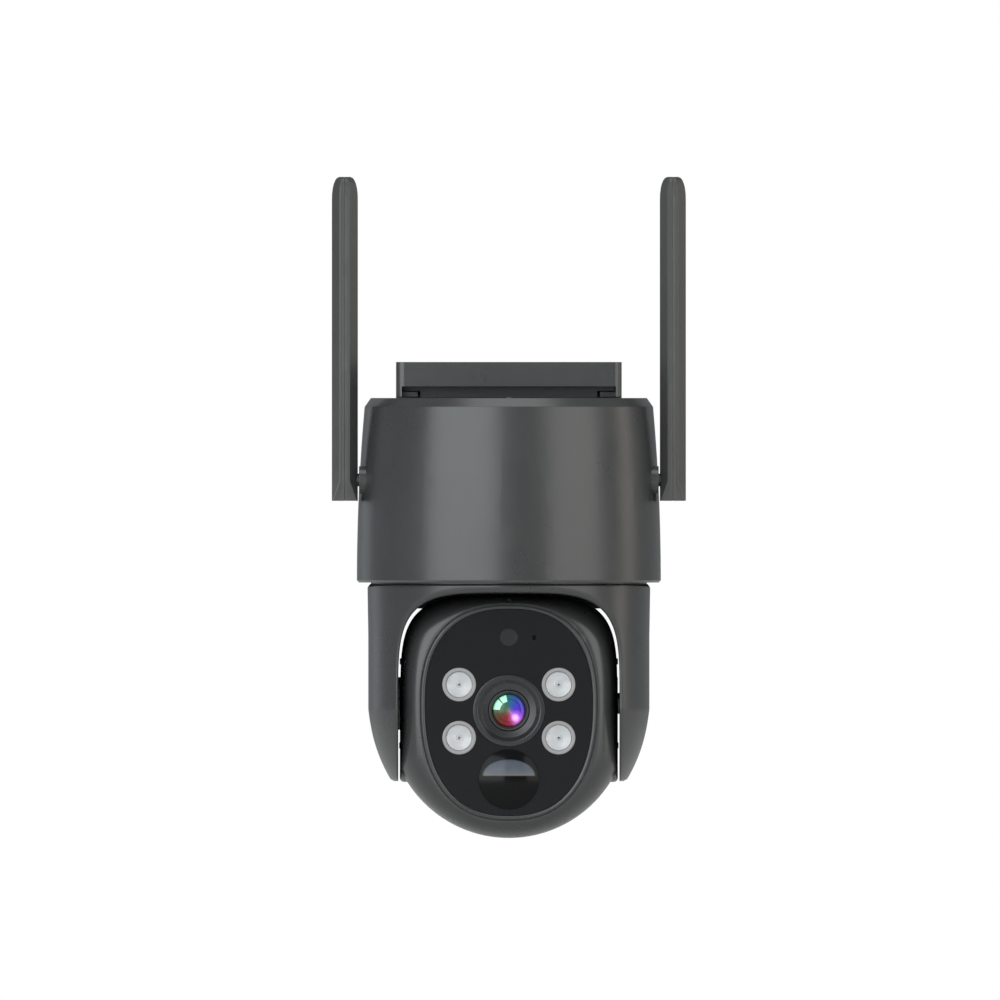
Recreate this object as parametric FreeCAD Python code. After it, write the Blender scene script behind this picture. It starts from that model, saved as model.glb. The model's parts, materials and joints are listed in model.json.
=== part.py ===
import FreeCAD, Part

import math
import os

from FreeCAD import Vector

# Pan and tilt security camera, millimetres.
# Origin: centre of the wall plate's rear face. +Y runs into the wall, +Z up, the camera looks along -Y.

# ---- driving dimensions -------------------------------------------------------------------------

# wall bracket
PLATE_WIDTH = 79.0
PLATE_HEIGHT = 75.0
PLATE_THICK = 4.0
PLATE_CORNER = 6.0
SCREW_HOLE = 4.5
SCREW_SPACING_X = 55.0
SCREW_SPACING_Z = 46.0
ARM_LENGTH = 88.0
ARM_SIDE_DROP = 12.2
ARM_LIP_DROP = 8.6
ARM_SKIN = 2.4
ARM_WALL = 2.1
ARM_CORNER = 3.0
RAIL_WIDTH = 6.0
RAIL_THICK = 1.8
SHOE_FLANGE_THICK = 2.6
SHOE_SLIDE_GAP = 0.2

# round housing
PAN_AXIS_Y = -60.0
HOUSING_TOP_RADIUS = 48.3
HOUSING_SHOULDER_RADIUS = 50.5
HOUSING_MIDDLE_RADIUS = 51.9
HOUSING_BASE_RADIUS = 53.2
HOUSING_HEIGHT = 64.6
HOUSING_WALL = 2.4
CAP_THICK = 3.1
FLOOR_RISE = 4.7
FLOOR_THICK = 2.6
BRACKET_GAP = 0.4
LOCK_HEAD = 3.2
LOCK_SHANK = 1.5
LOCK_BEHIND_FRONT = 15.0
BUSHING_OUTER = 15.0
CAP_LIP = 1.0
MOTOR_SCREW_X = 16.0

# yoke
YOKE_GAP = 0.5
YOKE_TOP_RADIUS = 49.5
YOKE_RADIUS = 49.2
YOKE_TOP_TO_AXIS = 41.8
YOKE_DROP = 27.2
YOKE_TIP_RADIUS = 41.0
YOKE_CURVE_START = 2.0
YOKE_WALL = 2.2
SPIGOT_RADIUS = 46.0
SPIGOT_RISE = 4.2
ARCH_HALF_WIDTH = 38.7
ARCH_HEIGHT = 38.6
ARCH_POWER = 4.1
ARM_COVER_THICK = 1.8
REAR_LIP_HEIGHT = 33.2
REAR_LIP_GAP = 2.7
SLIT_GAP = 0.55
HUB_FLANGE = 20.0
HUB_FLANGE_THICK = 2.4
HUB_STEP = 1.0
HUB_SCREW_RING = 16.5
RING_THICK = 1.2
COVER_SCREW_Y = 16.0
COVER_SCREW_LOW = -9.0
COVER_SCREW_HIGH = 19.0
COVER_SCREW_LENGTH = 3.2

# camera head, measured from the tilt axis
HEAD_TOP = 37.8
HEAD_TOP_POWER = 4.0
CHIN_RADIUS = 42.0
CHIN_CENTRE = 5.1
HEAD_FRONT = 31.0
HEAD_STRAIGHT = 13.0
HEAD_WALL = 2.2
HEAD_SEAM = 12.0
HEAD_SEAM_GAP = 0.8
CHEEK_RADIUS = 27.5
CHEEK_TOP = 10.0
CHEEK_REAR = 12.0
NUB_REACH = 14.7
HEAD_SCREW_LOW_X = 24.0
HEAD_SCREW_LOW_Z = -33.5
HEAD_SCREW_HIGH_X = 22.0
HEAD_SCREW_HIGH_Z = 28.5
SERVICE_Z = -22.0
SERVICE_WIDTH = 22.0
SERVICE_HEIGHT = 9.0

# face panel and what looks through it
FACE_POWER = 2.4
FACE_HALF_WIDTH = 29.3
FACE_TOP = 33.0
FACE_BOTTOM = 39.3
FACE_RECESS = 0.6
FACE_THICK = 2.0
FACE_LEDGE = 2.6
RIM_WIDTH = 1.6
LED_X = 17.4
LED_HIGH = 6.6
LED_LOW = -12.0
LED_RADIUS = 5.9
LENS_Z = -2.5
BEZEL_RADIUS = 12.6
BARREL_RADIUS = 7.0
GLASS_RADIUS = 5.8
PIR_Z = -26.6
PIR_RADIUS = 10.5
SENSOR_WINDOW_Z = 23.1
SENSOR_WINDOW_RADIUS = 3.0
MIC_X = 9.0
MIC_RADIUS = 0.9
TOP_HOLE_Z = 36.0
TOP_HOLE_RADIUS = 0.85

# pivots
TILT_HUB_RADIUS = 9.25
TILT_HUB_BORE = 6.0
TILT_PIN_RADIUS = 3.7
PAN_HUB_RADIUS = 12.0
PAN_HUB_BORE = 8.5
RUNNING_FIT = 0.05
SEAT_GAP = 0.1

# gears
PAN_MODULE = 0.8
PAN_TEETH = 60
PAN_PINION_TEETH = 12
TILT_MODULE = 0.6
TILT_TEETH = 48
TILT_PINION_TEETH = 12
GEAR_THICK = 5.0
TILT_GEAR_THICK = 3.0

# antennas
ANTENNA_WIDTH = 9.1
ANTENNA_FACET = 3.6
ANTENNA_LENGTH = 113.4
ANTENNA_HEEL = 7.3
ANTENNA_NOSE = 8.0
ANTENNA_WALL = 1.25
ANTENNA_GAP = 0.4
POST_RADIUS = 4.85
POST_FORWARD = 11.0
POST_BELOW_TOP = 28.7
POST_SHANK = 3.4
POST_NUT = 4.4
POST_NUT_THICK = 3.3
POST_BOSS = 7.0
SPINDLE_RADIUS = 2.2
SPINDLE_HEAD = 2.7
SPINDLE_SLEEVE = 2.8

# electronics
CELL_RADIUS = 9.2
CELL_LENGTH = 65.0
BOARD_THICK = 1.6
BOARD_RADIUS = 44.0
PORT_ANGLE = 45.0
SPEAKER_ANGLE = 135.0
SPEAKER_RADIUS = 12.0
FLAP_HALF_WIDTH = 6.9
FLAP_HALF_HEIGHT = 4.9
FLAP_THICK = 1.2
BUTTON_RADIUS = 4.0

# ---- places worked out from the dimensions ------------------------------------------------------

BRACKET_TOP_Z = PLATE_HEIGHT / 2
HOUSING_TOP_Z = BRACKET_TOP_Z - ARM_SIDE_DROP - BRACKET_GAP
HOUSING_BASE_Z = HOUSING_TOP_Z - HOUSING_HEIGHT
SHOULDER_Z = HOUSING_TOP_Z - CAP_THICK
YOKE_TOP_Z = HOUSING_BASE_Z - YOKE_GAP
TILT_AXIS_Z = YOKE_TOP_Z - YOKE_TOP_TO_AXIS
FLOOR_LOW_Z = HOUSING_BASE_Z + FLOOR_RISE
FLOOR_TOP_Z = FLOOR_LOW_Z + FLOOR_THICK
SPIGOT_Z = YOKE_TOP_Z + SPIGOT_RISE
POST_Z = HOUSING_TOP_Z - POST_BELOW_TOP
POST_FACE = HOUSING_BASE_RADIUS - 0.75
POST_SEAT = HOUSING_MIDDLE_RADIUS - 2.9
POST_BOSS_FACE = HOUSING_MIDDLE_RADIUS - 6.4
PAN_GEAR_Z = FLOOR_TOP_Z + 1.6
PAN_CENTRES = PAN_MODULE * (PAN_TEETH + PAN_PINION_TEETH) / 2
TILT_CENTRES = TILT_MODULE * (TILT_TEETH + TILT_PINION_TEETH) / 2
BOARD_Z = PAN_GEAR_Z + 24.8
TRAY_Z = BOARD_Z + 5.0
TRAY_THICK = 1.5
MOTOR_EAR_Z = PAN_GEAR_Z + GEAR_THICK + 3.0
PORT_Z = HOUSING_BASE_Z + 17.0
PORT_FACE = HOUSING_MIDDLE_RADIUS + 0.2
BUTTON_Z = HOUSING_BASE_Z + 42.0
SPEAKER_Z = (FLOOR_TOP_Z + BOARD_Z) / 2
SPEAKER_FACE = HOUSING_MIDDLE_RADIUS - 5.4
CHEEK_HALF_WIDTH = ARCH_HALF_WIDTH - SLIT_GAP
HEAD_HALF_WIDTH = CHEEK_HALF_WIDTH - 0.15
TILT_GEAR_X = -(HEAD_HALF_WIDTH - HEAD_WALL) + 2.4
TILT_MOTOR_X = TILT_GEAR_X + TILT_GEAR_THICK + 2.0
PANEL_FRONT = HEAD_FRONT - FACE_RECESS
PANEL_BACK = PANEL_FRONT - FACE_THICK
FRONT_BOARD = PANEL_BACK - 7.0
SENSOR_BOARD = PANEL_BACK - 20.0

X_AXIS = Vector(1, 0, 0)
Y_AXIS = Vector(0, 1, 0)
Z_AXIS = Vector(0, 0, 1)


# ---- small helpers ------------------------------------------------------------------------------

def box(low, high):
    """A box between two corners."""
    size = [b - a for a, b in zip(low, high)]
    return Part.makeBox(size[0], size[1], size[2], Vector(*low))


def rod(radius, start, end):
    """A cylinder between two points."""
    a, b = Vector(*start), Vector(*end)
    return Part.makeCylinder(radius, (b - a).Length, a, b - a)


def tube(outer, inner, start, end):
    """A plain ring between two points."""
    return rod(outer, start, end).cut(rod(inner, start, end))


def cone(radius_a, radius_b, start, end):
    """A truncated cone between two points."""
    a, b = Vector(*start), Vector(*end)
    return Part.makeCone(radius_a, radius_b, (b - a).Length, a, b - a)


def joined(shapes):
    """One solid from shapes that touch or overlap."""
    first = shapes[0]
    return first.fuse(shapes[1:]).removeSplitter() if len(shapes) > 1 else first


def group(shapes):
    """Separate solids that share one node."""
    return Part.makeCompound(shapes)


def turned(points):
    """A solid of revolution about Z from an outline of (radius, height) points and arcs.

    An entry with four numbers is an arc: (mid radius, mid height, end radius, end height).
    """
    edges = []
    here = Vector(points[0][0], 0, points[0][1])
    first = here
    for entry in points[1:]:
        end = Vector(entry[-2], 0, entry[-1])
        if len(entry) == 4:
            edges.append(Part.Arc(here, Vector(entry[0], 0, entry[1]), end).toShape())
        elif (end - here).Length > 1e-6:
            edges.append(Part.LineSegment(here, end).toShape())
        here = end
    if (here - first).Length > 1e-6:
        edges.append(Part.LineSegment(here, first).toShape())
    face = Part.Face(Part.Wire(edges))
    return face.revolve(Vector(0, 0, 0), Z_AXIS, 360)


def prism(points, normal, depth):
    """An extrusion of a closed polygon."""
    wire = Part.makePolygon([Vector(*p) for p in points] + [Vector(*points[0])])
    return Part.Face(wire).extrude(Vector(*normal) * depth)


def on_pan_axis(shape):
    """Moves a shape made about the Z axis to the pan axis."""
    shape.translate(Vector(0, PAN_AXIS_Y, 0))
    return shape


def on_tilt_axis(shape):
    """Moves a shape made about the head's centre to the tilt axis."""
    shape.translate(Vector(0, PAN_AXIS_Y, TILT_AXIS_Z))
    return shape


def at_angle(shape, degrees):
    """Turns a shape made towards +X round the Z axis, then moves it to the pan axis."""
    shape.rotate(Vector(0, 0, 0), Z_AXIS, degrees)
    return on_pan_axis(shape)


def mirrored(shape):
    """The same shape on the other side of the pan axis."""
    return shape.mirror(Vector(0, 0, 0), X_AXIS)


def smooth_loop(points):
    """A closed smooth wire through points."""
    curve = Part.BSplineCurve()
    curve.interpolate(Points=[Vector(*p) for p in points], PeriodicFlag=True)
    return Part.Wire(curve.toShape())


def screw(radius, length, head_radius, head_height, seat, direction):
    """A screw: its head's underside is at seat, and its shank runs along direction."""
    d = Vector(*direction)
    s = Vector(*seat)
    shank = Part.makeCylinder(radius, length, s, d)
    head = Part.makeCylinder(head_radius, head_height, s - d * head_height, d)
    slot = Part.makeCylinder(head_radius * 0.45, head_height * 0.5, s - d * head_height, d)
    return shank.fuse(head).cut(slot)


def gear(module, teeth, thick, bore, start, axis, phase):
    """A spur gear with trapezoid teeth and backlash. The first tooth stands at phase degrees."""
    pitch = module * teeth / 2
    tip = pitch + 0.75 * module
    root = pitch - 1.15 * module
    step = 2 * math.pi / teeth
    points = []
    for i in range(teeth):
        middle = math.radians(phase) + i * step
        for radius, share in ((root, -0.29), (tip, -0.11), (tip, 0.11), (root, 0.29)):
            angle = middle + share * step
            points.append((radius * math.cos(angle), radius * math.sin(angle), 0))
    body = prism(points, (0, 0, 1), thick)
    if bore:
        body = body.cut(rod(bore, (0, 0, -1), (0, 0, thick + 1)))
    if axis == "X":
        body.rotate(Vector(0, 0, 0), Y_AXIS, 90)
    body.translate(Vector(*start))
    return body


# ---- wall bracket -------------------------------------------------------------------------------

def wall_bracket():
    """Wall plate with a deep arm: a shallow tray upside down, with two rails for the shoe."""
    half = PLATE_WIDTH / 2
    top = BRACKET_TOP_Z
    plate = box((-half, -PLATE_THICK, -PLATE_HEIGHT / 2), (half, 0, top))
    arm = box((-half, -ARM_LENGTH, top - ARM_SIDE_DROP), (half, 0, top))
    corners = [e for e in arm.Edges if abs(e.BoundBox.ZLength - ARM_SIDE_DROP) < 0.01
               and e.BoundBox.YMax < -ARM_LENGTH / 2]
    arm = arm.makeFillet(ARM_CORNER, corners)
    inner = box((-half + ARM_WALL, -ARM_LENGTH + ARM_WALL, top - ARM_SIDE_DROP - 1),
                (half - ARM_WALL, -PLATE_THICK, top - ARM_SKIN))
    mouth = box((-half + ARM_WALL, -ARM_LENGTH - 1, top - ARM_SIDE_DROP - 1),
                (half - ARM_WALL, -ARM_LENGTH + ARM_WALL + 1, top - ARM_LIP_DROP))
    arm = arm.cut([inner, mouth])
    low = top - ARM_SIDE_DROP
    rails = [box((x, -ARM_LENGTH + ARM_CORNER + 3, low), (x + RAIL_WIDTH, -PLATE_THICK, low + RAIL_THICK))
             for x in (-half + ARM_WALL - 0.5, half - ARM_WALL - RAIL_WIDTH + 0.5)]
    body = joined([plate, arm] + rails)
    foot = [e for e in body.Edges if abs(e.BoundBox.YLength - PLATE_THICK) < 0.01
            and e.BoundBox.ZMax < -PLATE_HEIGHT / 2 + 0.01 and e.BoundBox.XLength < 0.01]
    body = body.makeFillet(PLATE_CORNER, foot)
    for x, z in wall_screw_places():
        body = body.cut(rod(SCREW_HOLE / 2, (x, -PLATE_THICK - 1, z), (x, 1, z)))
    lock = lock_screw_seat()
    body = body.cut(rod(LOCK_HEAD + 0.3, (lock[0], lock[1], top - 1.2), (lock[0], lock[1], top + 1)))
    return body.cut(rod(LOCK_SHANK + 0.2, (lock[0], lock[1], top - ARM_SKIN - 1), (lock[0], lock[1], top)))


def lock_screw_seat():
    """Where the lock screw's head sits, countersunk in the arm's top, near its front."""
    return (0, -ARM_LENGTH + LOCK_BEHIND_FRONT, BRACKET_TOP_Z - 1.2)


def wall_screw_places():
    """Centres of the four wall screw holes, evenly about the origin."""
    return [(sx * SCREW_SPACING_X / 2, sz * SCREW_SPACING_Z / 2) for sx in (-1, 1) for sz in (-1, 1)]


def shoe_block():
    """The T-shaped shoe on the housing's cap, which slides on the bracket's rails."""
    half = PLATE_WIDTH / 2 - ARM_WALL - SHOE_SLIDE_GAP - 0.1
    neck = PLATE_WIDTH / 2 - ARM_WALL - RAIL_WIDTH - 0.4
    low = BRACKET_TOP_Z - ARM_SIDE_DROP + RAIL_THICK + SHOE_SLIDE_GAP
    front = -ARM_LENGTH + 7.0
    rear = -PLATE_THICK - 14.0
    flange = box((-half, front, low), (half, rear, low + SHOE_FLANGE_THICK))
    stem = box((-neck, front, HOUSING_TOP_Z), (neck, rear, low + 0.1))
    shoe = flange.fuse(stem).removeSplitter()
    lock = lock_screw_seat()
    shoe = shoe.cut(rod(LOCK_SHANK, (lock[0], lock[1], HOUSING_TOP_Z), (lock[0], lock[1], low + 5)))
    for x, y in shoe_screw_places():
        shoe = shoe.cut(rod(1.5, (x, y, HOUSING_TOP_Z - 1), (x, y, low + 5)))
        shoe = shoe.cut(rod(3.1, (x, y, low + SHOE_FLANGE_THICK - 1.4), (x, y, low + 5)))
    return shoe


def shoe_screw_places():
    return [(x, PAN_AXIS_Y + y) for x in (-22, 22) for y in (-14, 20)]


def shoe_screw_group():
    """Four screws through the shoe into the cap."""
    seat = BRACKET_TOP_Z - ARM_SIDE_DROP + RAIL_THICK + SHOE_SLIDE_GAP + SHOE_FLANGE_THICK - 1.4
    return group([screw(1.5, seat - SHOULDER_Z - 0.2, 2.9, 1.2, (x, y, seat), (0, 0, -1))
                  for x, y in shoe_screw_places()])


def bracket_lock_screw():
    seat = lock_screw_seat()
    return screw(LOCK_SHANK, seat[2] - HOUSING_TOP_Z - 0.3, LOCK_HEAD, 1.1, seat, (0, 0, -1))


# ---- housing ------------------------------------------------------------------------------------

def housing_profile(inset, low, high):
    """Turned outline of the housing's side, moved inwards by inset, between two heights."""
    return [(0, low), (HOUSING_BASE_RADIUS - inset, low),
            (HOUSING_MIDDLE_RADIUS - inset, SHOULDER_Z - 18.6, HOUSING_SHOULDER_RADIUS - inset, SHOULDER_Z),
            (HOUSING_SHOULDER_RADIUS - inset, high), (0, high)]


def housing_shell():
    """Drafted round shell with a skirt, a raised floor, bosses, a ledge and its openings."""
    outer = turned(housing_profile(0, HOUSING_BASE_Z, SHOULDER_Z))
    edge = [e for e in outer.Edges if abs(e.BoundBox.ZMax - HOUSING_BASE_Z) < 0.01 and e.Length > 100]
    outer = outer.makeChamfer(0.8, edge)
    inner = turned(housing_profile(HOUSING_WALL, HOUSING_BASE_Z - 1, SHOULDER_Z + 1))
    shell = outer.cut(inner)
    reach = HOUSING_BASE_RADIUS - HOUSING_WALL + 0.3
    floor = tube(reach, BUSHING_OUTER, (0, 0, FLOOR_LOW_Z), (0, 0, FLOOR_TOP_Z))
    ledge = tube(HOUSING_SHOULDER_RADIUS - HOUSING_WALL + 0.9, HOUSING_SHOULDER_RADIUS - 5.0,
                 (0, 0, TRAY_Z - 1.6), (0, 0, TRAY_Z))
    bosses = []
    for x, y in board_screw_places():
        bosses.append(tube(2.8, 0.9, (x, y, FLOOR_TOP_Z - 0.2), (x, y, BOARD_Z)))
    for x, y in motor_screw_places():
        bosses.append(tube(2.6, 0.9, (x, y, FLOOR_TOP_Z - 0.2), (x, y, MOTOR_EAR_Z)))
    for x, y in cap_screw_places():
        bosses.append(tube(3.0, 1.2, (x, y, TRAY_Z), (x, y, SHOULDER_Z - CAP_LIP)))
    shell = joined([shell, floor, ledge] + bosses)
    for side in (-1, 1):
        shell = shell.fuse(post_rod(side, POST_BOSS, POST_BOSS_FACE, POST_SEAT + 1).common(outer))
        shell = shell.cut(post_rod(side, POST_RADIUS + SEAT_GAP, POST_SEAT, POST_FACE + 3))
        shell = shell.cut(post_rod(side, POST_SHANK, POST_BOSS_FACE - 1, POST_SEAT + 1))
        shell = shell.cut(post_rod(side, POST_NUT + 0.4, POST_BOSS_FACE - 8, POST_BOSS_FACE))
    shell = shell.cut(port_space())
    shell = shell.cut(speaker_holes())
    return on_pan_axis(shell)


def post_rod(side, radius, start, end):
    """A cylinder on an antenna's axis, on one side of the pan axis."""
    return rod(radius, (side * start, -POST_FORWARD, POST_Z), (side * end, -POST_FORWARD, POST_Z))


def board_screw_places():
    """Three bosses under the main board, evenly round the pan axis."""
    return [(38 * math.cos(math.radians(a)), 38 * math.sin(math.radians(a))) for a in (-90, 0, 180)]


def motor_screw_places():
    return [(-MOTOR_SCREW_X, PAN_CENTRES), (MOTOR_SCREW_X, PAN_CENTRES)]


def cap_screw_places():
    return [(43.2 * math.cos(math.radians(a)), 43.2 * math.sin(math.radians(a))) for a in (75, 105, 255, 285)]


def port_space():
    """Pockets for the charging port, its rubber flap and the power button, turned to their place."""
    wide, tall = FLAP_HALF_WIDTH + 0.4, FLAP_HALF_HEIGHT + 0.4
    flap = box((PORT_FACE - FLAP_THICK - 0.2, -wide, PORT_Z - tall), (PORT_FACE + 4, wide, PORT_Z + tall))
    socket = box((PORT_FACE - 12, -4.7, PORT_Z - 1.85), (PORT_FACE, 4.7, PORT_Z + 1.85))
    button = rod(BUTTON_RADIUS + 0.3, (PORT_FACE - 12, 0, BUTTON_Z), (PORT_FACE + 4, 0, BUTTON_Z))
    space = group([flap.fuse(socket), button])
    space.rotate(Vector(0, 0, 0), Z_AXIS, PORT_ANGLE)
    return space


def speaker_holes():
    """Round grille holes in front of the speaker, in three rings round one in the middle."""
    holes = []
    for ring in range(4):
        for i in range(max(1, 6 * ring)):
            angle = 2 * math.pi * i / max(1, 6 * ring)
            y, z = 2.6 * ring * math.cos(angle), 2.6 * ring * math.sin(angle)
            holes.append(rod(0.7, (SPEAKER_FACE - 1, y, SPEAKER_Z + z), (SPEAKER_FACE + 9, y, SPEAKER_Z + z)))
    space = group(holes)
    space.rotate(Vector(0, 0, 0), Z_AXIS, SPEAKER_ANGLE)
    return space


def housing_cap():
    """Flat cap with a chamfered rim, a spigot ring, and the detent nub for the bracket."""
    cap = turned([(0, SHOULDER_Z), (HOUSING_SHOULDER_RADIUS, SHOULDER_Z),
                  (HOUSING_TOP_RADIUS, HOUSING_TOP_Z), (0, HOUSING_TOP_Z)])
    spigot = tube(HOUSING_SHOULDER_RADIUS - HOUSING_WALL - 0.2, HOUSING_SHOULDER_RADIUS - HOUSING_WALL - 1.7,
                  (0, 0, SHOULDER_Z - CAP_LIP + 0.2), (0, 0, SHOULDER_Z + 0.1))
    nub = rod(1.0, (0, -46.0, HOUSING_TOP_Z - 0.1), (0, -46.0, HOUSING_TOP_Z + 0.35))
    cap = joined([cap, spigot, nub])
    for x, y in cap_screw_places():
        cap = cap.cut(rod(1.4, (x, y, SHOULDER_Z - 2), (x, y, HOUSING_TOP_Z + 1)))
        cap = cap.cut(rod(2.6, (x, y, HOUSING_TOP_Z - 1.6), (x, y, HOUSING_TOP_Z + 1)))
    cap = on_pan_axis(cap)
    for x, y in shoe_screw_places():
        cap = cap.cut(rod(1.5, (x, y, SHOULDER_Z - 0.1), (x, y, HOUSING_TOP_Z + 1)))
    return cap


def cap_gasket():
    """Thin ring between the cap's underside and the boss ring, inside the spigot."""
    outer = HOUSING_SHOULDER_RADIUS - HOUSING_WALL - 1.9
    return on_pan_axis(tube(outer, outer - 0.9, (0, 0, SHOULDER_Z - 0.8), (0, 0, SHOULDER_Z)))


def cap_screw_group():
    """Four screws down through the cap into the shell's bosses."""
    seat = HOUSING_TOP_Z - 1.6
    screws = [screw(1.2, 9.0, 2.4, 1.3, (x, y, seat), (0, 0, -1)) for x, y in cap_screw_places()]
    return on_pan_axis(group(screws))


def battery_tray():
    """Round tray on the shell's ledge, with a cradle for the two cells."""
    tray = rod(HOUSING_SHOULDER_RADIUS - HOUSING_WALL - 0.5, (0, 0, TRAY_Z), (0, 0, TRAY_Z + TRAY_THICK))
    rows = []
    height = TRAY_Z + TRAY_THICK
    for y in (-2 * CELL_RADIUS - 2.2, 2 * CELL_RADIUS + 0.6):
        rows.append(box((-CELL_LENGTH / 2, y, height - 0.1), (CELL_LENGTH / 2, y + 1.6, height + 9)))
    for x in (-CELL_LENGTH / 2 - 2.1, CELL_LENGTH / 2 + 0.6):
        rows.append(box((x, -2 * CELL_RADIUS, height - 0.1), (x + 1.5, 2 * CELL_RADIUS, height + 12)))
    tray = joined([tray] + rows)
    for x, y in cap_screw_places():
        tray = tray.cut(rod(3.3, (x, y, TRAY_Z - 1), (x, y, TRAY_Z + 30)))
    for side in (-1, 1):
        tray = tray.cut(post_rod(side, POST_BOSS + 0.4, POST_BOSS_FACE - 8, POST_FACE))
    return on_pan_axis(tray)


def battery_cells():
    """Two round cells side by side, each with its end button."""
    cells = []
    z = TRAY_Z + TRAY_THICK + CELL_RADIUS
    for y, way in ((-CELL_RADIUS - 0.2, 1), (CELL_RADIUS + 0.2, -1)):
        can = rod(CELL_RADIUS, (-way * CELL_LENGTH / 2, y, z), (way * (CELL_LENGTH / 2 - 1.2), y, z))
        tip = rod(3.0, (way * (CELL_LENGTH / 2 - 1.3), y, z), (way * CELL_LENGTH / 2, y, z))
        cells.append(can.fuse(tip))
    return on_pan_axis(group(cells))


def main_board():
    """Round main board on three bosses."""
    board = rod(BOARD_RADIUS, (0, 0, BOARD_Z), (0, 0, BOARD_Z + BOARD_THICK))
    for x, y in board_screw_places():
        board = board.cut(rod(1.1, (x, y, BOARD_Z - 1), (x, y, BOARD_Z + 3)))
    slots = [post_rod(side, POST_NUT + 0.4, POST_BOSS_FACE - 8, POST_FACE) for side in (-1, 1)]
    slots.append(rod(6.0, (0, 0, BOARD_Z - 1), (0, 0, BOARD_Z + 3)))
    return on_pan_axis(board.cut(slots))


def board_components():
    """Shield can, processor, memory, inductors, wire sockets on the main board."""
    top = BOARD_Z + BOARD_THICK
    places = [((-30, -14), (20, 16, 2.4)), ((-6, 14), (14, 14, 1.4)), ((12, 14), (10, 12, 1.0)),
              ((12, -20), (8, 8, 3.0)), ((22, -8), (7, 7, 2.8)), ((-32, 10), (12, 5, 3.0)),
              ((-8, -32), (16, 5, 3.0)), ((26, 6), (4, 8, 2.0))]
    parts = []
    for (x, y), (width, depth, height) in places:
        parts.append(box((x, y, top), (x + width, y + depth, top + height)))
    return on_pan_axis(group(parts))


def inside_screws():
    """Screws of the main board and of the pan motor."""
    screws = [screw(0.9, 6.0, 2.0, 1.2, (x, y, BOARD_Z + BOARD_THICK), (0, 0, -1))
              for x, y in board_screw_places()]
    screws += [screw(0.9, 6.0, 2.0, 1.2, (x, y, MOTOR_EAR_Z + 1.0), (0, 0, -1))
               for x, y in motor_screw_places()]
    return on_pan_axis(group(screws))


def pan_motor():
    """Geared stepper motor with two ears, its shaft hole facing down."""
    y = PAN_CENTRES
    can = rod(12.0, (0, y, MOTOR_EAR_Z), (0, y, MOTOR_EAR_Z + 14))
    plate = box((-MOTOR_SCREW_X - 3, y - 3.5, MOTOR_EAR_Z), (MOTOR_SCREW_X + 3, y + 3.5, MOTOR_EAR_Z + 1))
    nose = rod(3.5, (0, y, MOTOR_EAR_Z - 1.2), (0, y, MOTOR_EAR_Z + 0.1))
    body = joined([can, plate, nose])
    for x, screw_y in motor_screw_places():
        body = body.cut(rod(1.1, (x, screw_y, MOTOR_EAR_Z - 1), (x, screw_y, MOTOR_EAR_Z + 2)))
    return on_pan_axis(body.cut(rod(1.0 + RUNNING_FIT, (0, y, MOTOR_EAR_Z - 2), (0, y, MOTOR_EAR_Z + 6))))


def pan_pinion():
    """Motor pinion on its shaft, in mesh with the pan gear: a gap faces the pan axis."""
    phase = -90 + 180 / PAN_PINION_TEETH
    wheel = gear(PAN_MODULE, PAN_PINION_TEETH, GEAR_THICK, 0, (0, PAN_CENTRES, PAN_GEAR_Z), "Z", phase)
    shaft = rod(1.0, (0, PAN_CENTRES, PAN_GEAR_Z + 0.1), (0, PAN_CENTRES, MOTOR_EAR_Z + 5))
    return on_pan_axis(joined([wheel, shaft]))


def pan_bushing():
    """Flanged bushing in the floor, in which the pan hub turns."""
    sleeve = rod(BUSHING_OUTER, (0, 0, FLOOR_LOW_Z), (0, 0, FLOOR_TOP_Z))
    flange = rod(BUSHING_OUTER + 2, (0, 0, FLOOR_TOP_Z), (0, 0, FLOOR_TOP_Z + 1))
    bore = rod(PAN_HUB_RADIUS + RUNNING_FIT, (0, 0, FLOOR_LOW_Z - 1), (0, 0, FLOOR_TOP_Z + 2))
    return on_pan_axis(joined([sleeve, flange]).cut(bore))


def speaker():
    """Round speaker behind its grille: frame, magnet and cone."""
    z, rim = SPEAKER_Z, SPEAKER_FACE - 2.5
    frame = tube(SPEAKER_RADIUS, SPEAKER_RADIUS - 1.5, (rim, 0, z), (SPEAKER_FACE, 0, z))
    basket = cone(7.0, SPEAKER_RADIUS - 0.5, (rim - 6, 0, z), (rim + 0.1, 0, z))
    basket = basket.cut(cone(3.0, SPEAKER_RADIUS - 1.5, (rim - 3.5, 0, z), (rim + 0.2, 0, z)))
    magnet = rod(7.0, (rim - 9.5, 0, z), (rim - 5.9, 0, z))
    return at_angle(joined([frame, basket, magnet]), SPEAKER_ANGLE)


def charging_socket():
    """Metal shell of the charging socket with its tongue."""
    back = PORT_FACE - 10.6
    shell = box((back, -4.5, PORT_Z - 1.65), (PORT_FACE - 2.2, 4.5, PORT_Z + 1.65))
    mouth = box((back + 1.5, -4.15, PORT_Z - 1.3), (PORT_FACE, 4.15, PORT_Z + 1.3))
    tongue = box((back + 1.0, -3.3, PORT_Z - 0.35), (PORT_FACE - 3.0, 3.3, PORT_Z + 0.35))
    return at_angle(joined([shell.cut(mouth), tongue]), PORT_ANGLE)


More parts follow.
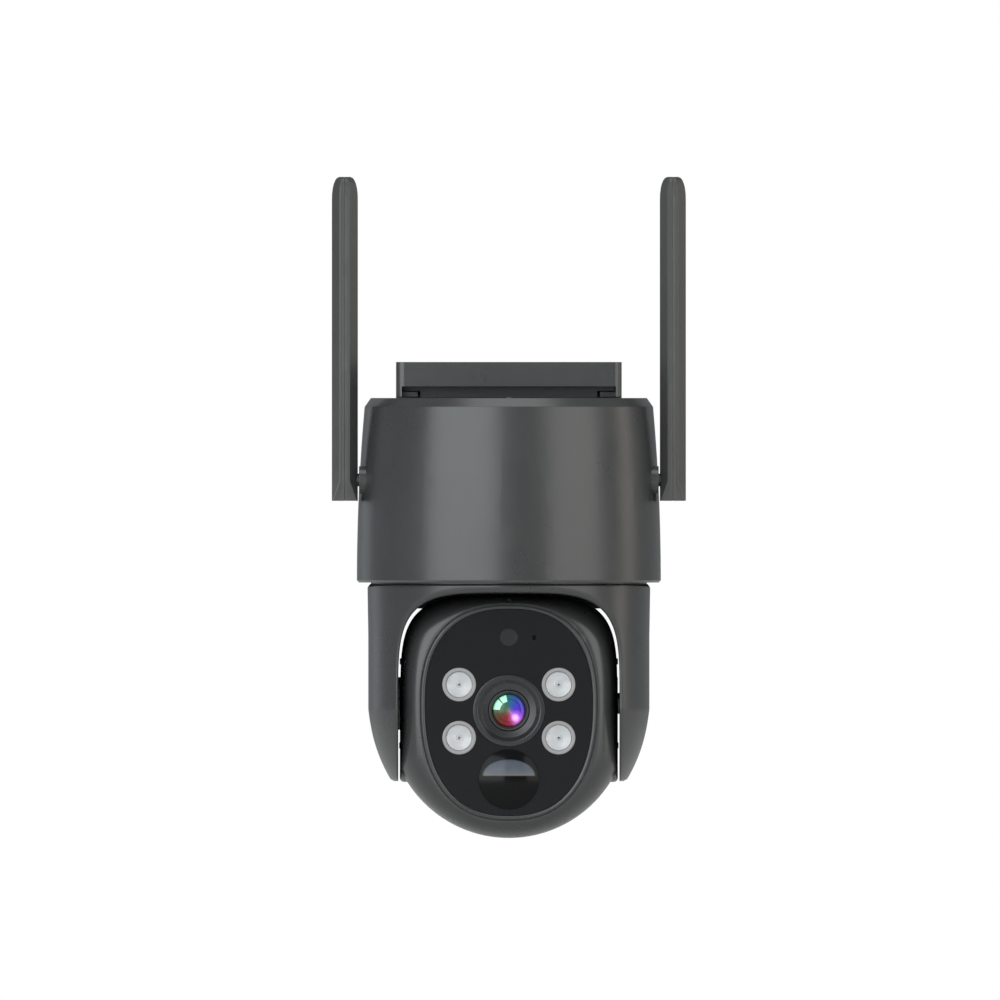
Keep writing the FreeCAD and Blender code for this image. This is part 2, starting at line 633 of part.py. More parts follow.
def port_flap():
    """Rubber flap over the charging port: a round hinge bead along its lower edge, a finger lip."""
    bead_x, bead_z = PORT_FACE - FLAP_THICK / 2, PORT_Z - FLAP_HALF_HEIGHT + FLAP_THICK / 2
    bead = rod(FLAP_THICK / 2, (bead_x, -FLAP_HALF_WIDTH, bead_z), (bead_x, FLAP_HALF_WIDTH, bead_z))
    face = box((PORT_FACE - FLAP_THICK, -FLAP_HALF_WIDTH, bead_z),
               (PORT_FACE, FLAP_HALF_WIDTH, PORT_Z + FLAP_HALF_HEIGHT))
    lip = box((PORT_FACE - 0.1, -2.5, PORT_Z + 3.4), (PORT_FACE + 0.8, 2.5, PORT_Z + 4.6))
    return at_angle(joined([bead, face, lip]), PORT_ANGLE)


def power_button():
    """Round push button above the charging port."""
    cap = rod(BUTTON_RADIUS, (PORT_FACE - 3.0, 0, BUTTON_Z), (PORT_FACE + 0.2, 0, BUTTON_Z))
    stem = rod(1.6, (PORT_FACE - 7.0, 0, BUTTON_Z), (PORT_FACE - 2.9, 0, BUTTON_Z))
    return at_angle(joined([cap, stem]), PORT_ANGLE)


def antenna_post():
    """Right-hand pivot post: shank in the shell, round neck, spindle and retaining head."""
    head_start = POST_FACE + SPINDLE_SLEEVE + 0.5
    neck = post_rod(1, POST_RADIUS, POST_SEAT, POST_FACE)
    shank = post_rod(1, POST_SHANK, POST_BOSS_FACE - POST_NUT_THICK, POST_SEAT + 0.1)
    nut = post_rod(1, POST_NUT, POST_BOSS_FACE - POST_NUT_THICK, POST_BOSS_FACE)
    spindle = post_rod(1, SPINDLE_RADIUS, POST_FACE - 0.1, head_start + 1.1)
    head = post_rod(1, SPINDLE_HEAD, head_start, head_start + 1.1)
    return on_pan_axis(joined([neck, shank, nut, spindle, head]))


# ---- antennas -----------------------------------------------------------------------------------

def octagon(width, corner, z):
    """Octagon about the Z axis: a square of a width with its corners cut back."""
    w, c = width / 2, corner
    points = [(w, -w + c), (w, w - c), (w - c, w), (-w + c, w), (-w, w - c), (-w, -w + c), (-w + c, -w),
              (w - c, -w)]
    ring = [Vector(x, y, z) for x, y in points]
    return Part.makePolygon(ring + [ring[0]])


def antenna_solid(inset):
    """Octagonal paddle: square heel, long blade, rounded nose. Its pivot is at z 0."""
    width = ANTENNA_WIDTH - 2 * inset
    corner = (ANTENNA_WIDTH - ANTENNA_FACET) / 2 - inset * 0.585
    top = ANTENNA_LENGTH - ANTENNA_HEEL - inset
    sections = [(-ANTENNA_HEEL + inset, 1.0, 0.35), (-0.3, 1.0, corner), (top - ANTENNA_NOSE, 1.0, corner)]
    for share in (0.25, 0.5, 0.7, 0.85, 0.95, 1.0):
        scale = 0.42 + 0.58 * math.sqrt(1 - share ** 2.3)
        sections.append((top - ANTENNA_NOSE * (1 - share), scale, corner * scale))
    wires = [octagon(width * scale, cut, z) for z, scale, cut in sections]
    return Part.makeLoft(wires, True, True)


def antenna_pieces():
    """Right-hand antenna's inner case, outer case and radiator, in place."""
    centre = POST_FACE + ANTENNA_GAP + ANTENNA_WIDTH / 2
    shell = antenna_solid(0).cut(antenna_solid(ANTENNA_WALL))
    half = ANTENNA_WIDTH
    inner = shell.common(box((-half, -half, -20), (0, half, ANTENNA_LENGTH)))
    outer = shell.common(box((0, -half, -20), (half, half, ANTENNA_LENGTH)))
    sleeve_end = SPINDLE_SLEEVE - ANTENNA_WIDTH / 2
    sleeve = rod(SPINDLE_HEAD + 0.3, (-ANTENNA_WIDTH / 2, 0, 0), (sleeve_end, 0, 0))
    inner = inner.fuse(sleeve.common(antenna_solid(0)))
    inner = inner.cut(rod(SPINDLE_RADIUS + RUNNING_FIT, (-half, 0, 0), (0, 0, 0)))
    strip = box((-0.5, -1.6, 8.0), (0.5, 1.6, ANTENNA_LENGTH - ANTENNA_HEEL - 14))
    pads = box((-1.2, -1.0, 20.0), (-0.45, 1.0, 46.0))
    pieces = []
    for piece in (inner, outer, strip.fuse(pads)):
        piece.translate(Vector(centre, -POST_FORWARD, POST_Z))
        pieces.append(on_pan_axis(piece))
    return pieces


# ---- yoke ---------------------------------------------------------------------------------------

def yoke_turned(inset):
    """Turned outline of the yoke, moved inwards by inset; the heights are from the tilt axis."""
    drop = -YOKE_DROP + inset
    middle = (-YOKE_CURVE_START - YOKE_DROP) / 2
    belly = YOKE_RADIUS - 3.1
    return turned([(0, YOKE_TOP_TO_AXIS - inset), (YOKE_TOP_RADIUS - inset, YOKE_TOP_TO_AXIS - inset),
                   (YOKE_RADIUS - inset, YOKE_TOP_TO_AXIS - 18), (YOKE_RADIUS - inset, -YOKE_CURVE_START),
                   (belly - inset, middle - 0.5, YOKE_TIP_RADIUS - inset, drop), (0, drop)])


def arch_width(z):
    """Half-width of the tunnel at a height above the tilt axis."""
    return ARCH_HALF_WIDTH * (1 - max(0.0, z / ARCH_HEIGHT) ** ARCH_POWER) ** (1 / ARCH_POWER)


def arch_solid():
    """The tunnel through the yoke: flat-sided below the axis, squarish arch above it."""
    low = -YOKE_DROP - 5
    points = []
    steps = 24
    for i in range(steps + 1):
        angle = math.pi * i / steps
        c, s = math.cos(angle), math.sin(angle)
        reach = (abs(c / ARCH_HALF_WIDTH) ** ARCH_POWER + (s / ARCH_HEIGHT) ** ARCH_POWER) ** (-1 / ARCH_POWER)
        points.append(Vector(reach * c, -70, reach * s))
    curve = Part.BSplineCurve()
    curve.interpolate(Points=points, InitialTangent=Vector(0, 0, 1), FinalTangent=Vector(0, 0, -1))
    a, b = points[0], points[-1]
    down_a, down_b = Vector(a.x, a.y, low), Vector(b.x, b.y, low)
    wire = Part.Wire([curve.toShape(), Part.makeLine(b, down_b), Part.makeLine(down_b, down_a),
                      Part.makeLine(down_a, a)])
    return Part.Face(wire).extrude(Vector(0, 140, 0))


def arm_pocket(side, gap):
    """Space inside one arm, open on its inner face. gap makes it smaller, for the cover."""
    low = -YOKE_DROP + 3.0 + gap
    room = box((min(side * ARCH_HALF_WIDTH, side * 60), -24 + gap, low),
               (max(side * ARCH_HALF_WIDTH, side * 60), 24 - gap, 24 - gap))
    return room.common(yoke_turned(YOKE_WALL + gap))


def yoke_shell():
    """Turned shell with the arch cut through it, hollow arms and a recess for the hub."""
    spigot = rod(SPIGOT_RADIUS, (0, 0, YOKE_TOP_TO_AXIS - 0.5), (0, 0, YOKE_TOP_TO_AXIS + SPIGOT_RISE))
    body = joined([yoke_turned(0), spigot]).cut(arch_solid())
    lip = box((-ARCH_HALF_WIDTH, HEAD_TOP + REAR_LIP_GAP, REAR_LIP_HEIGHT),
              (ARCH_HALF_WIDTH, YOKE_TOP_RADIUS + 10, ARCH_HEIGHT + 1))
    body = body.fuse(lip.common(yoke_turned(0)))
    body = body.cut([arm_pocket(-1, 0), arm_pocket(1, 0)])
    screws, behind = cover_screws(), ARCH_HALF_WIDTH + ARM_COVER_THICK
    for side in (-1, 1):
        for y, z in cover_screw_places():
            boss = rod(2.2, (side * behind, y, z), (side * (behind + 10), y, z))
            body = body.fuse(boss.common(yoke_turned(YOKE_WALL / 4)))
    body = body.cut([s.common(yoke_turned(YOKE_WALL / 2)) for s in screws])
    top = YOKE_TOP_TO_AXIS + SPIGOT_RISE
    body = body.cut(rod(HUB_FLANGE + SEAT_GAP, (0, 0, top - HUB_FLANGE_THICK), (0, 0, top + 1)))
    for x, y in hub_screw_places():
        body = body.cut(rod(0.9, (x, y, top - HUB_FLANGE_THICK - 3.5), (x, y, top)))
    return on_tilt_axis(body)


def hub_screw_places():
    return [(HUB_SCREW_RING * math.cos(math.radians(a)), HUB_SCREW_RING * math.sin(math.radians(a)))
            for a in (45, 135, 225, 315)]


def pan_hub():
    """Hollow hub that hangs the yoke in the housing's bushing; the wires pass through it."""
    top = SPIGOT_Z
    flange = rod(HUB_FLANGE, (0, 0, top - HUB_FLANGE_THICK), (0, 0, top))
    barrel = rod(PAN_HUB_RADIUS, (0, 0, top - 1), (0, 0, PAN_GEAR_Z + GEAR_THICK))
    end = rod(PAN_HUB_RADIUS - HUB_STEP, (0, 0, top), (0, 0, PAN_GEAR_Z + GEAR_THICK + RING_THICK + 1))
    body = joined([flange, barrel, end])
    body = body.cut(rod(PAN_HUB_BORE, (0, 0, top - 4), (0, 0, PAN_GEAR_Z + 20)))
    for x, y in hub_screw_places():
        body = body.cut(rod(1.1, (x, y, top - 4), (x, y, top + 1)))
        body = body.cut(rod(2.1, (x, y, top - 1.2), (x, y, top + 1)))
    return on_pan_axis(body)


def pan_gear():
    """Large gear on the hub; a tooth faces the pinion."""
    wheel = gear(PAN_MODULE, PAN_TEETH, GEAR_THICK, PAN_HUB_RADIUS, (0, 0, PAN_GEAR_Z), "Z", 90)
    for i in range(6):
        angle = math.radians(60 * i)
        x, y = 17.3 * math.cos(angle), 17.3 * math.sin(angle)
        wheel = wheel.cut(rod(3.0, (x, y, PAN_GEAR_Z - 1), (x, y, PAN_GEAR_Z + GEAR_THICK + 1)))
    return on_pan_axis(wheel)


def hub_retaining_ring():
    """Snap ring that holds the gear and the yoke up."""
    low = PAN_GEAR_Z + GEAR_THICK
    ring = tube(PAN_HUB_RADIUS + 2.5, PAN_HUB_RADIUS - HUB_STEP, (0, 0, low), (0, 0, low + RING_THICK))
    gap = box((PAN_HUB_RADIUS - 4, -1.5, low - 1), (PAN_HUB_RADIUS + 5, 1.5, low + 3))
    return on_pan_axis(ring.cut(gap))


def cover_screw_places():
    return [(y, z) for y in (-COVER_SCREW_Y, COVER_SCREW_Y) for z in (COVER_SCREW_LOW, COVER_SCREW_HIGH)]


def cover_screws():
    """The eight screws of the arm covers, about the head's centre."""
    screws = []
    for side in (-1, 1):
        for y, z in cover_screw_places():
            seat = (side * (ARCH_HALF_WIDTH + 0.8), y, z)
            screws.append(screw(0.95, COVER_SCREW_LENGTH, 1.65, 0.7, seat, (side, 0, 0)))
    return screws


def arm_cover(side):
    """Flat plate over one arm's pocket; the tilt pivot passes through it."""
    plate = arm_pocket(side, SEAT_GAP).common(
        box((min(side * ARCH_HALF_WIDTH, side * (ARCH_HALF_WIDTH + ARM_COVER_THICK)), -40, -40),
            (max(side * ARCH_HALF_WIDTH, side * (ARCH_HALF_WIDTH + ARM_COVER_THICK)), 40, 40)))
    radius = TILT_HUB_RADIUS if side < 0 else TILT_PIN_RADIUS
    plate = plate.cut(rod(radius, (side * 30, 0, 0), (side * 45, 0, 0)))
    for y, z in cover_screw_places():
        plate = plate.cut(rod(1.0, (side * 30, y, z), (side * 45, y, z)))
        plate = plate.cut(rod(1.8, (side * 30, y, z), (side * (ARCH_HALF_WIDTH + 0.8), y, z)))
    return on_tilt_axis(plate)


def yoke_screw_group():
    """Screws of both arm covers and of the pan hub."""
    screws = [on_tilt_axis(s) for s in cover_screws()]
    for x, y in hub_screw_places():
        screws.append(on_pan_axis(screw(0.9, 4.2, 1.9, 1.1, (x, y, SPIGOT_Z - 1.2), (0, 0, -1))))
    return group(screws)


def tilt_hub():
    """Large hollow pivot on the left arm; the wires of the head pass through it."""
    outside = -(ARCH_HALF_WIDTH + ARM_COVER_THICK)
    flange = rod(TILT_HUB_RADIUS + 2.2, (outside - 1.6, 0, 0), (outside, 0, 0))
    barrel = rod(TILT_HUB_RADIUS, (outside - 0.1, 0, 0), (TILT_GEAR_X, 0, 0))
    end = rod(TILT_HUB_RADIUS - HUB_STEP, (outside, 0, 0), (TILT_GEAR_X + TILT_GEAR_THICK + 0.8, 0, 0))
    bore = rod(TILT_HUB_BORE, (outside - 3, 0, 0), (TILT_GEAR_X + 12, 0, 0))
    return on_tilt_axis(joined([flange, barrel, end]).cut(bore))


def tilt_pin():
    """Small pivot pin in the right arm."""
    outside = ARCH_HALF_WIDTH + ARM_COVER_THICK
    flange = rod(TILT_PIN_RADIUS + 2.2, (outside, 0, 0), (outside + 1.6, 0, 0))
    pin = rod(TILT_PIN_RADIUS, (HEAD_HALF_WIDTH - HEAD_WALL - 4.0, 0, 0), (outside + 0.1, 0, 0))
    return on_tilt_axis(joined([flange, pin]))


def tilt_gear():
    """Gear fixed to the tilt hub, inside the head; a tooth faces the pinion."""
    wheel = gear(TILT_MODULE, TILT_TEETH, TILT_GEAR_THICK, TILT_HUB_RADIUS - HUB_STEP,
                 (TILT_GEAR_X, 0, 0), "X", 90)
    return on_tilt_axis(wheel)


def tilt_pinion():
    """Pinion on the tilt motor's shaft; a gap faces the tilt axis."""
    phase = -90 + 180 / TILT_PINION_TEETH
    wheel = gear(TILT_MODULE, TILT_PINION_TEETH, TILT_GEAR_THICK, 0, (TILT_GEAR_X, TILT_CENTRES, 0), "X", phase)
    shaft = rod(1.0, (TILT_GEAR_X + 0.1, TILT_CENTRES, 0), (TILT_MOTOR_X + 5, TILT_CENTRES, 0))
    return on_tilt_axis(joined([wheel, shaft]))


def tilt_motor():
    """Small geared motor across the head, behind the tilt axis."""
    can = rod(10.0, (TILT_MOTOR_X, TILT_CENTRES, 0), (TILT_MOTOR_X + 15, TILT_CENTRES, 0))
    nose = rod(3.0, (TILT_MOTOR_X - 1, TILT_CENTRES, 0), (TILT_MOTOR_X + 1, TILT_CENTRES, 0))
    ears = box((TILT_MOTOR_X, TILT_CENTRES - 3, -13.5), (TILT_MOTOR_X + 1, TILT_CENTRES + 3, 13.5))
    hole = rod(1.0 + RUNNING_FIT, (TILT_MOTOR_X - 2, TILT_CENTRES, 0), (TILT_MOTOR_X + 6, TILT_CENTRES, 0))
    return on_tilt_axis(joined([can, nose, ears]).cut(hole))


# ---- camera head --------------------------------------------------------------------------------

def head_holds(x, y, z, inset):
    """True inside the head's rear half: turned about the tilt axis above, oval below."""
    a, b = HEAD_HALF_WIDTH - inset, HEAD_TOP - inset
    if abs(x) >= a:
        return False
    reach = b * (1 - (abs(x) / a) ** HEAD_TOP_POWER) ** (1 / HEAD_TOP_POWER)
    if z >= 0:
        return y * y + z * z <= reach * reach
    drop = CHIN_CENTRE + math.sqrt((CHIN_RADIUS - inset) ** 2 - x * x)
    return (z / drop) ** 2 + (y / reach) ** 2 <= 1


def silhouette(angle, y, inset):
    """Distance from the head's centre line to its skin, at an angle and a depth y behind the axis."""
    low, high = 0.0, 60.0
    for _ in range(32):
        middle = (low + high) / 2
        if head_holds(middle * math.cos(angle), y, middle * math.sin(angle), inset):
            low = middle
        else:
            high = middle
    return low


def face_outline(angle, margin):
    """Distance from the face's centre to its edge, widened by margin."""
    c, s = math.cos(angle), math.sin(angle)
    tall = (FACE_TOP if s >= 0 else FACE_BOTTOM) + margin
    wide = FACE_HALF_WIDTH + margin
    return (abs(c / wide) ** FACE_POWER + abs(s / tall) ** FACE_POWER) ** (-1 / FACE_POWER)


def head_section(y, inset):
    """Closed outline of the head at a depth y; negative is in front of the tilt axis."""
    steps = 44
    points = []
    for i in range(steps):
        angle = 2 * math.pi * i / steps
        if y >= 0:
            reach = silhouette(angle, y, inset)
        else:
            share = max(0.0, (-y - HEAD_STRAIGHT) / (HEAD_FRONT - HEAD_STRAIGHT))
            bowl = 1 - math.sqrt(max(0.0, 1 - share ** 2))
            side = silhouette(angle, 0, inset)
            reach = side * (1 - bowl) + (face_outline(angle, RIM_WIDTH) - inset) * bowl
        points.append((reach * math.cos(angle), y, reach * math.sin(angle)))
    return smooth_loop(points)


def head_body(inset):
    """The head's skin moved inwards by inset, as one solid."""
    shares = (1.0, 0.985, 0.94, 0.85, 0.7, 0.5, 0.25, 0.0)
    depths = [-HEAD_STRAIGHT - share * (HEAD_FRONT - HEAD_STRAIGHT) for share in shares]
    rear = HEAD_TOP - inset
    depths += [0.0] + [rear * share for share in (0.2, 0.4, 0.58, 0.72, 0.83, 0.91, 0.965)]
    return Part.makeLoft([head_section(y, inset) for y in depths], True, False)


def face_prism(margin, front, back):
    """Prism with the face's outline, between two depths in front of the tilt axis."""
    steps = 40
    points = []
    for i in range(steps):
        angle = 2 * math.pi * i / steps
        reach = face_outline(angle, margin)
        points.append((reach * math.cos(angle), -back, reach * math.sin(angle)))
    return Part.Face(smooth_loop(points)).extrude(Vector(0, back - front, 0))


def head_shells():
    """Front and rear shells of the head and the gasket between them."""
    inside = CHEEK_HALF_WIDTH - 8
    cheeks = rod(CHEEK_RADIUS, (-CHEEK_HALF_WIDTH, 0, 0), (CHEEK_HALF_WIDTH, 0, 0))
    cheeks = cheeks.cut(rod(CHEEK_RADIUS + 1, (-inside, 0, 0), (inside, 0, 0)))
    cheeks = cheeks.common(box((-60, -HEAD_STRAIGHT, -CHEEK_RADIUS), (60, CHEEK_REAR, CHEEK_TOP)))
    outer = head_body(0)
    cavity = head_body(HEAD_WALL)
    ledge_back = HEAD_FRONT - FACE_RECESS - FACE_THICK - 1.8
    room = box((-60, -ledge_back, -60), (60, 60, 60))
    body = outer.fuse(cheeks).cut(cavity.common(room))
    body = body.cut(face_prism(SEAT_GAP, HEAD_FRONT - FACE_RECESS - FACE_THICK, HEAD_FRONT + 2))
    body = body.cut(face_prism(-FACE_LEDGE, ledge_back - 2, HEAD_FRONT + 2))
    boss = rod(TILT_PIN_RADIUS + 3, (HEAD_HALF_WIDTH - HEAD_WALL - 4.0, 0, 0), (HEAD_HALF_WIDTH - 1, 0, 0))
    body = body.fuse(boss)
    for side in (-1, 1):
        for z in (-NUB_REACH, NUB_REACH):
            nub = rod(1.1, (side * (HEAD_HALF_WIDTH - 1), 0, z), (side * (arch_width(z) - 0.3), 0, z))
            body = body.fuse(nub)
    bores = [rod(TILT_HUB_RADIUS + RUNNING_FIT, (-50, 0, 0), (-25, 0, 0)),
             rod(TILT_PIN_RADIUS + RUNNING_FIT, (25, 0, 0), (50, 0, 0)),
             rod(TOP_HOLE_RADIUS, (0, -HEAD_FRONT - 9, TOP_HOLE_Z), (0, -HEAD_FRONT + 11, TOP_HOLE_Z))]
    body = body.cut(bores)
    front = body.common(box((-60, -60, -60), (60, HEAD_SEAM, 60)))
    rear = body.common(box((-60, HEAD_SEAM + HEAD_SEAM_GAP, -60), (60, 60, 60)))
    front_bosses, rear_bosses = [], []
    for x, z in head_screw_places():
        front_bosses.append(tube(3.0, 0.9, (x, HEAD_SEAM - 9, z), (x, HEAD_SEAM, z)).common(outer))
        rear_bosses.append(rod(3.0, (x, HEAD_SEAM + HEAD_SEAM_GAP, z), (x, 36, z)).common(outer))
    front = front.fuse(front_bosses)
    rear = rear.fuse(rear_bosses)
    for x, z in head_screw_places():
        front = front.cut(rod(0.9, (x, HEAD_SEAM - 7, z), (x, HEAD_SEAM + 1, z)))
        rear = rear.cut(rod(1.1, (x, 0, z), (x, 50, z)))
        rear = rear.cut(rod(2.3, (x, HEAD_SEAM + 4, z), (x, 50, z)))
    rear = rear.cut(service_space(0))
    band = outer.cut(cavity).common(box((-60, HEAD_SEAM, -60), (60, HEAD_SEAM + HEAD_SEAM_GAP, 60)))
    trim = head_body(0.5).common(box((-60, HEAD_SEAM - 1, -60), (60, HEAD_SEAM + HEAD_SEAM_GAP + 1, 60)))
    gasket = band.common(trim).cut([rod(1.2, (x, 0, z), (x, 50, z)) for x, z in head_screw_places()])
    return on_tilt_axis(front), on_tilt_axis(rear), on_tilt_axis(gasket)


def head_screw_places():
    """Two screws low down and two high up, clear of the yoke's tunnel when the head tilts."""
    return [(-HEAD_SCREW_LOW_X, HEAD_SCREW_LOW_Z), (HEAD_SCREW_LOW_X, HEAD_SCREW_LOW_Z),
            (-HEAD_SCREW_HIGH_X, HEAD_SCREW_HIGH_Z), (HEAD_SCREW_HIGH_X, HEAD_SCREW_HIGH_Z)]


def head_screw_group():
    """Four screws from behind, through the rear shell into the front shell."""
    screws = [screw(0.9, 10.0, 2.1, 1.6, (x, HEAD_SEAM + 4, z), (0, -1, 0)) for x, z in head_screw_places()]
    return on_tilt_axis(group(screws))


def service_space(gap):
    """Opening in the rear shell for the service cover."""
    half = SERVICE_WIDTH / 2 - gap
    tall = SERVICE_HEIGHT / 2 - gap
    return box((-half, 22, SERVICE_Z - tall), (half, 50, SERVICE_Z + tall))


def service_cover():
    """Rubber cover of the card slot, flush with the rear shell."""
    skin = head_body(0).cut(head_body(HEAD_WALL + 0.8)).common(service_space(SEAT_GAP))
    return on_tilt_axis(skin)


def face_panel():
    """Glossy panel with holes for the lights, the lens, the motion sensor and the microphone."""
    back = HEAD_FRONT - FACE_RECESS - FACE_THICK
    panel = face_prism(0, back, HEAD_FRONT - FACE_RECESS)
    for x, z, radius in panel_holes():
        panel = panel.cut(rod(radius, (x, -HEAD_FRONT - 2, z), (x, -back + 2, z)))
    return on_tilt_axis(panel)


def panel_holes():
    holes = [(x, z, LED_RADIUS) for x, z in led_places()]
    return holes + [(0, LENS_Z, BEZEL_RADIUS), (0, PIR_Z, PIR_RADIUS), (MIC_X, SENSOR_WINDOW_Z, MIC_RADIUS),
                    (0, SENSOR_WINDOW_Z, SENSOR_WINDOW_RADIUS)]


def led_places():
    return [(x, z) for x in (-LED_X, LED_X) for z in (LED_HIGH, LED_LOW)]


def led_rings():
    """Four light rings in the panel, each round its optic."""
    rings = [tube(LED_RADIUS, LED_RADIUS - 1.4, (x, -PANEL_FRONT - 0.35, z), (x, -PANEL_BACK + 0.5, z))
             for x, z in led_places()]
    return on_tilt_axis(group(rings))


def led_optics():
    """Four clear optics: a dished front, and a cone back to the emitter."""
    optics = []
    for x, z in led_places():
        front = rod(LED_RADIUS - 1.4, (x, -PANEL_FRONT - 0.1, z), (x, -PANEL_BACK, z))
        back = cone(LED_RADIUS - 1.4, 2.2, (x, -PANEL_BACK, z), (x, -FRONT_BOARD - 1.2, z))
        dish = cone(LED_RADIUS - 1.8, 2.0, (x, -PANEL_FRONT - 0.15, z), (x, -PANEL_FRONT + 1.2, z))
        optics.append(joined([front, back]).cut(dish))
    return on_tilt_axis(group(optics))


def led_emitters():
    emitters = [box((x - 1.75, -FRONT_BOARD - 1.1, z - 1.75), (x + 1.75, -FRONT_BOARD, z + 1.75))
                for x, z in led_places()]
    return on_tilt_axis(group(emitters))


def front_board():
    """Board behind the panel that carries the emitters and the motion sensor."""
    board = face_prism(-FACE_LEDGE - 1.0, FRONT_BOARD - 1.2, FRONT_BOARD)
    board = board.cut(rod(BARREL_RADIUS + 2.5, (0, -FRONT_BOARD - 1, LENS_Z), (0, -FRONT_BOARD + 3, LENS_Z)))
    return on_tilt_axis(board)


def lens_bezel():
    """Dark ring round the lens, with a conical mouth."""
    ring = rod(BEZEL_RADIUS, (0, -PANEL_FRONT - 0.5, LENS_Z), (0, -PANEL_BACK + 0.8, LENS_Z))
    mouth = cone(BEZEL_RADIUS - 1.6, BARREL_RADIUS + 0.1, (0, -PANEL_FRONT - 0.51, LENS_Z),
                 (0, -PANEL_BACK + 0.81, LENS_Z))
    return on_tilt_axis(ring.cut(mouth))


def lens_barrel():
    """Threaded lens barrel with a seat for the front glass."""
    barrel = rod(BARREL_RADIUS, (0, -PANEL_BACK + 0.0, LENS_Z), (0, -PANEL_BACK + 17, LENS_Z))
    barrel = barrel.cut(rod(4.2, (0, -PANEL_BACK - 1, LENS_Z), (0, -PANEL_BACK + 18, LENS_Z)))
    seat = rod(GLASS_RADIUS, (0, -PANEL_BACK - 1, LENS_Z), (0, -PANEL_BACK + 1.5, LENS_Z))
    return on_tilt_axis(barrel.cut(seat))


def domed_glass(radius, bulge, edge, centre_z, back):
    """Round glass with a domed front; its flat back is at a depth."""
    ball = (radius ** 2 + bulge ** 2) / (2 * bulge)
    middle = edge + bulge - ball + math.sqrt(ball ** 2 - (radius / 2) ** 2)
    glass = turned([(0, 0), (radius, 0), (radius, edge), (radius / 2, middle, 0, edge + bulge)])
    glass.rotate(Vector(0, 0, 0), X_AXIS, 90)
    glass.translate(Vector(0, -back, centre_z))
    return glass


def lens_front_glass():
    return on_tilt_axis(domed_glass(GLASS_RADIUS, 1.5, 0.6, LENS_Z, PANEL_BACK - 1.5))


def lens_holder():
    """Square lens holder on the sensor board, threaded for the barrel."""
    z = LENS_Z
    block = box((-9, -SENSOR_BOARD - 7, z - 9), (9, -SENSOR_BOARD, z + 9))
    neck = rod(BARREL_RADIUS + 1.8, (0, -SENSOR_BOARD - 10.5, z), (0, -SENSOR_BOARD - 6.9, z))
    holder = joined([block, neck])
    holder = holder.cut(rod(BARREL_RADIUS, (0, -SENSOR_BOARD - 12, z), (0, -SENSOR_BOARD - 2.9, z)))
    return on_tilt_axis(holder.cut(box((-6, -SENSOR_BOARD - 3, z - 6), (6, -SENSOR_BOARD + 1, z + 6))))


def image_sensor():
    z = LENS_Z
    return on_tilt_axis(box((-4, -SENSOR_BOARD - 1.1, z - 3.5), (4, -SENSOR_BOARD, z + 3.5)))


def sensor_board():
    z = LENS_Z
    return on_tilt_axis(box((-16, -SENSOR_BOARD, z - 14), (16, -SENSOR_BOARD + 1.2, z + 14)))


def pir_lens():
    """Domed cover of the motion sensor."""
    dome = domed_glass(PIR_RADIUS, 2.4, 2.6, PIR_Z, PANEL_BACK)
    inner = rod(PIR_RADIUS - 1.2, (0, -PANEL_BACK + 1, PIR_Z), (0, -PANEL_BACK - 1.8, PIR_Z))
    return on_tilt_axis(dome.cut(inner))


def pir_sensor():
    """Round metal can of the motion sensor with its base flange."""
    base = rod(4.9, (0, -FRONT_BOARD - 0.5, PIR_Z), (0, -FRONT_BOARD, PIR_Z))
    can = rod(4.1, (0, -FRONT_BOARD - 4.2, PIR_Z), (0, -FRONT_BOARD - 0.4, PIR_Z))
    return on_tilt_axis(joined([base, can]))


def light_sensor_window():
    z = SENSOR_WINDOW_Z
    return on_tilt_axis(rod(SENSOR_WINDOW_RADIUS, (0, -PANEL_FRONT + 0.15, z), (0, -PANEL_BACK, z)))


def microphone():
    """Microphone capsule in its rubber boot behind the panel's hole."""
    x, z = MIC_X, SENSOR_WINDOW_Z
    boot = rod(3.2, (x, -PANEL_BACK, z), (x, -FRONT_BOARD, z))
    duct = rod(MIC_RADIUS, (x, -PANEL_BACK - 1, z), (x, -PANEL_BACK + 2.5, z))
    return on_tilt_axis(boot.cut(duct))


# ---- write every node ---------------------------------------------------------------------------

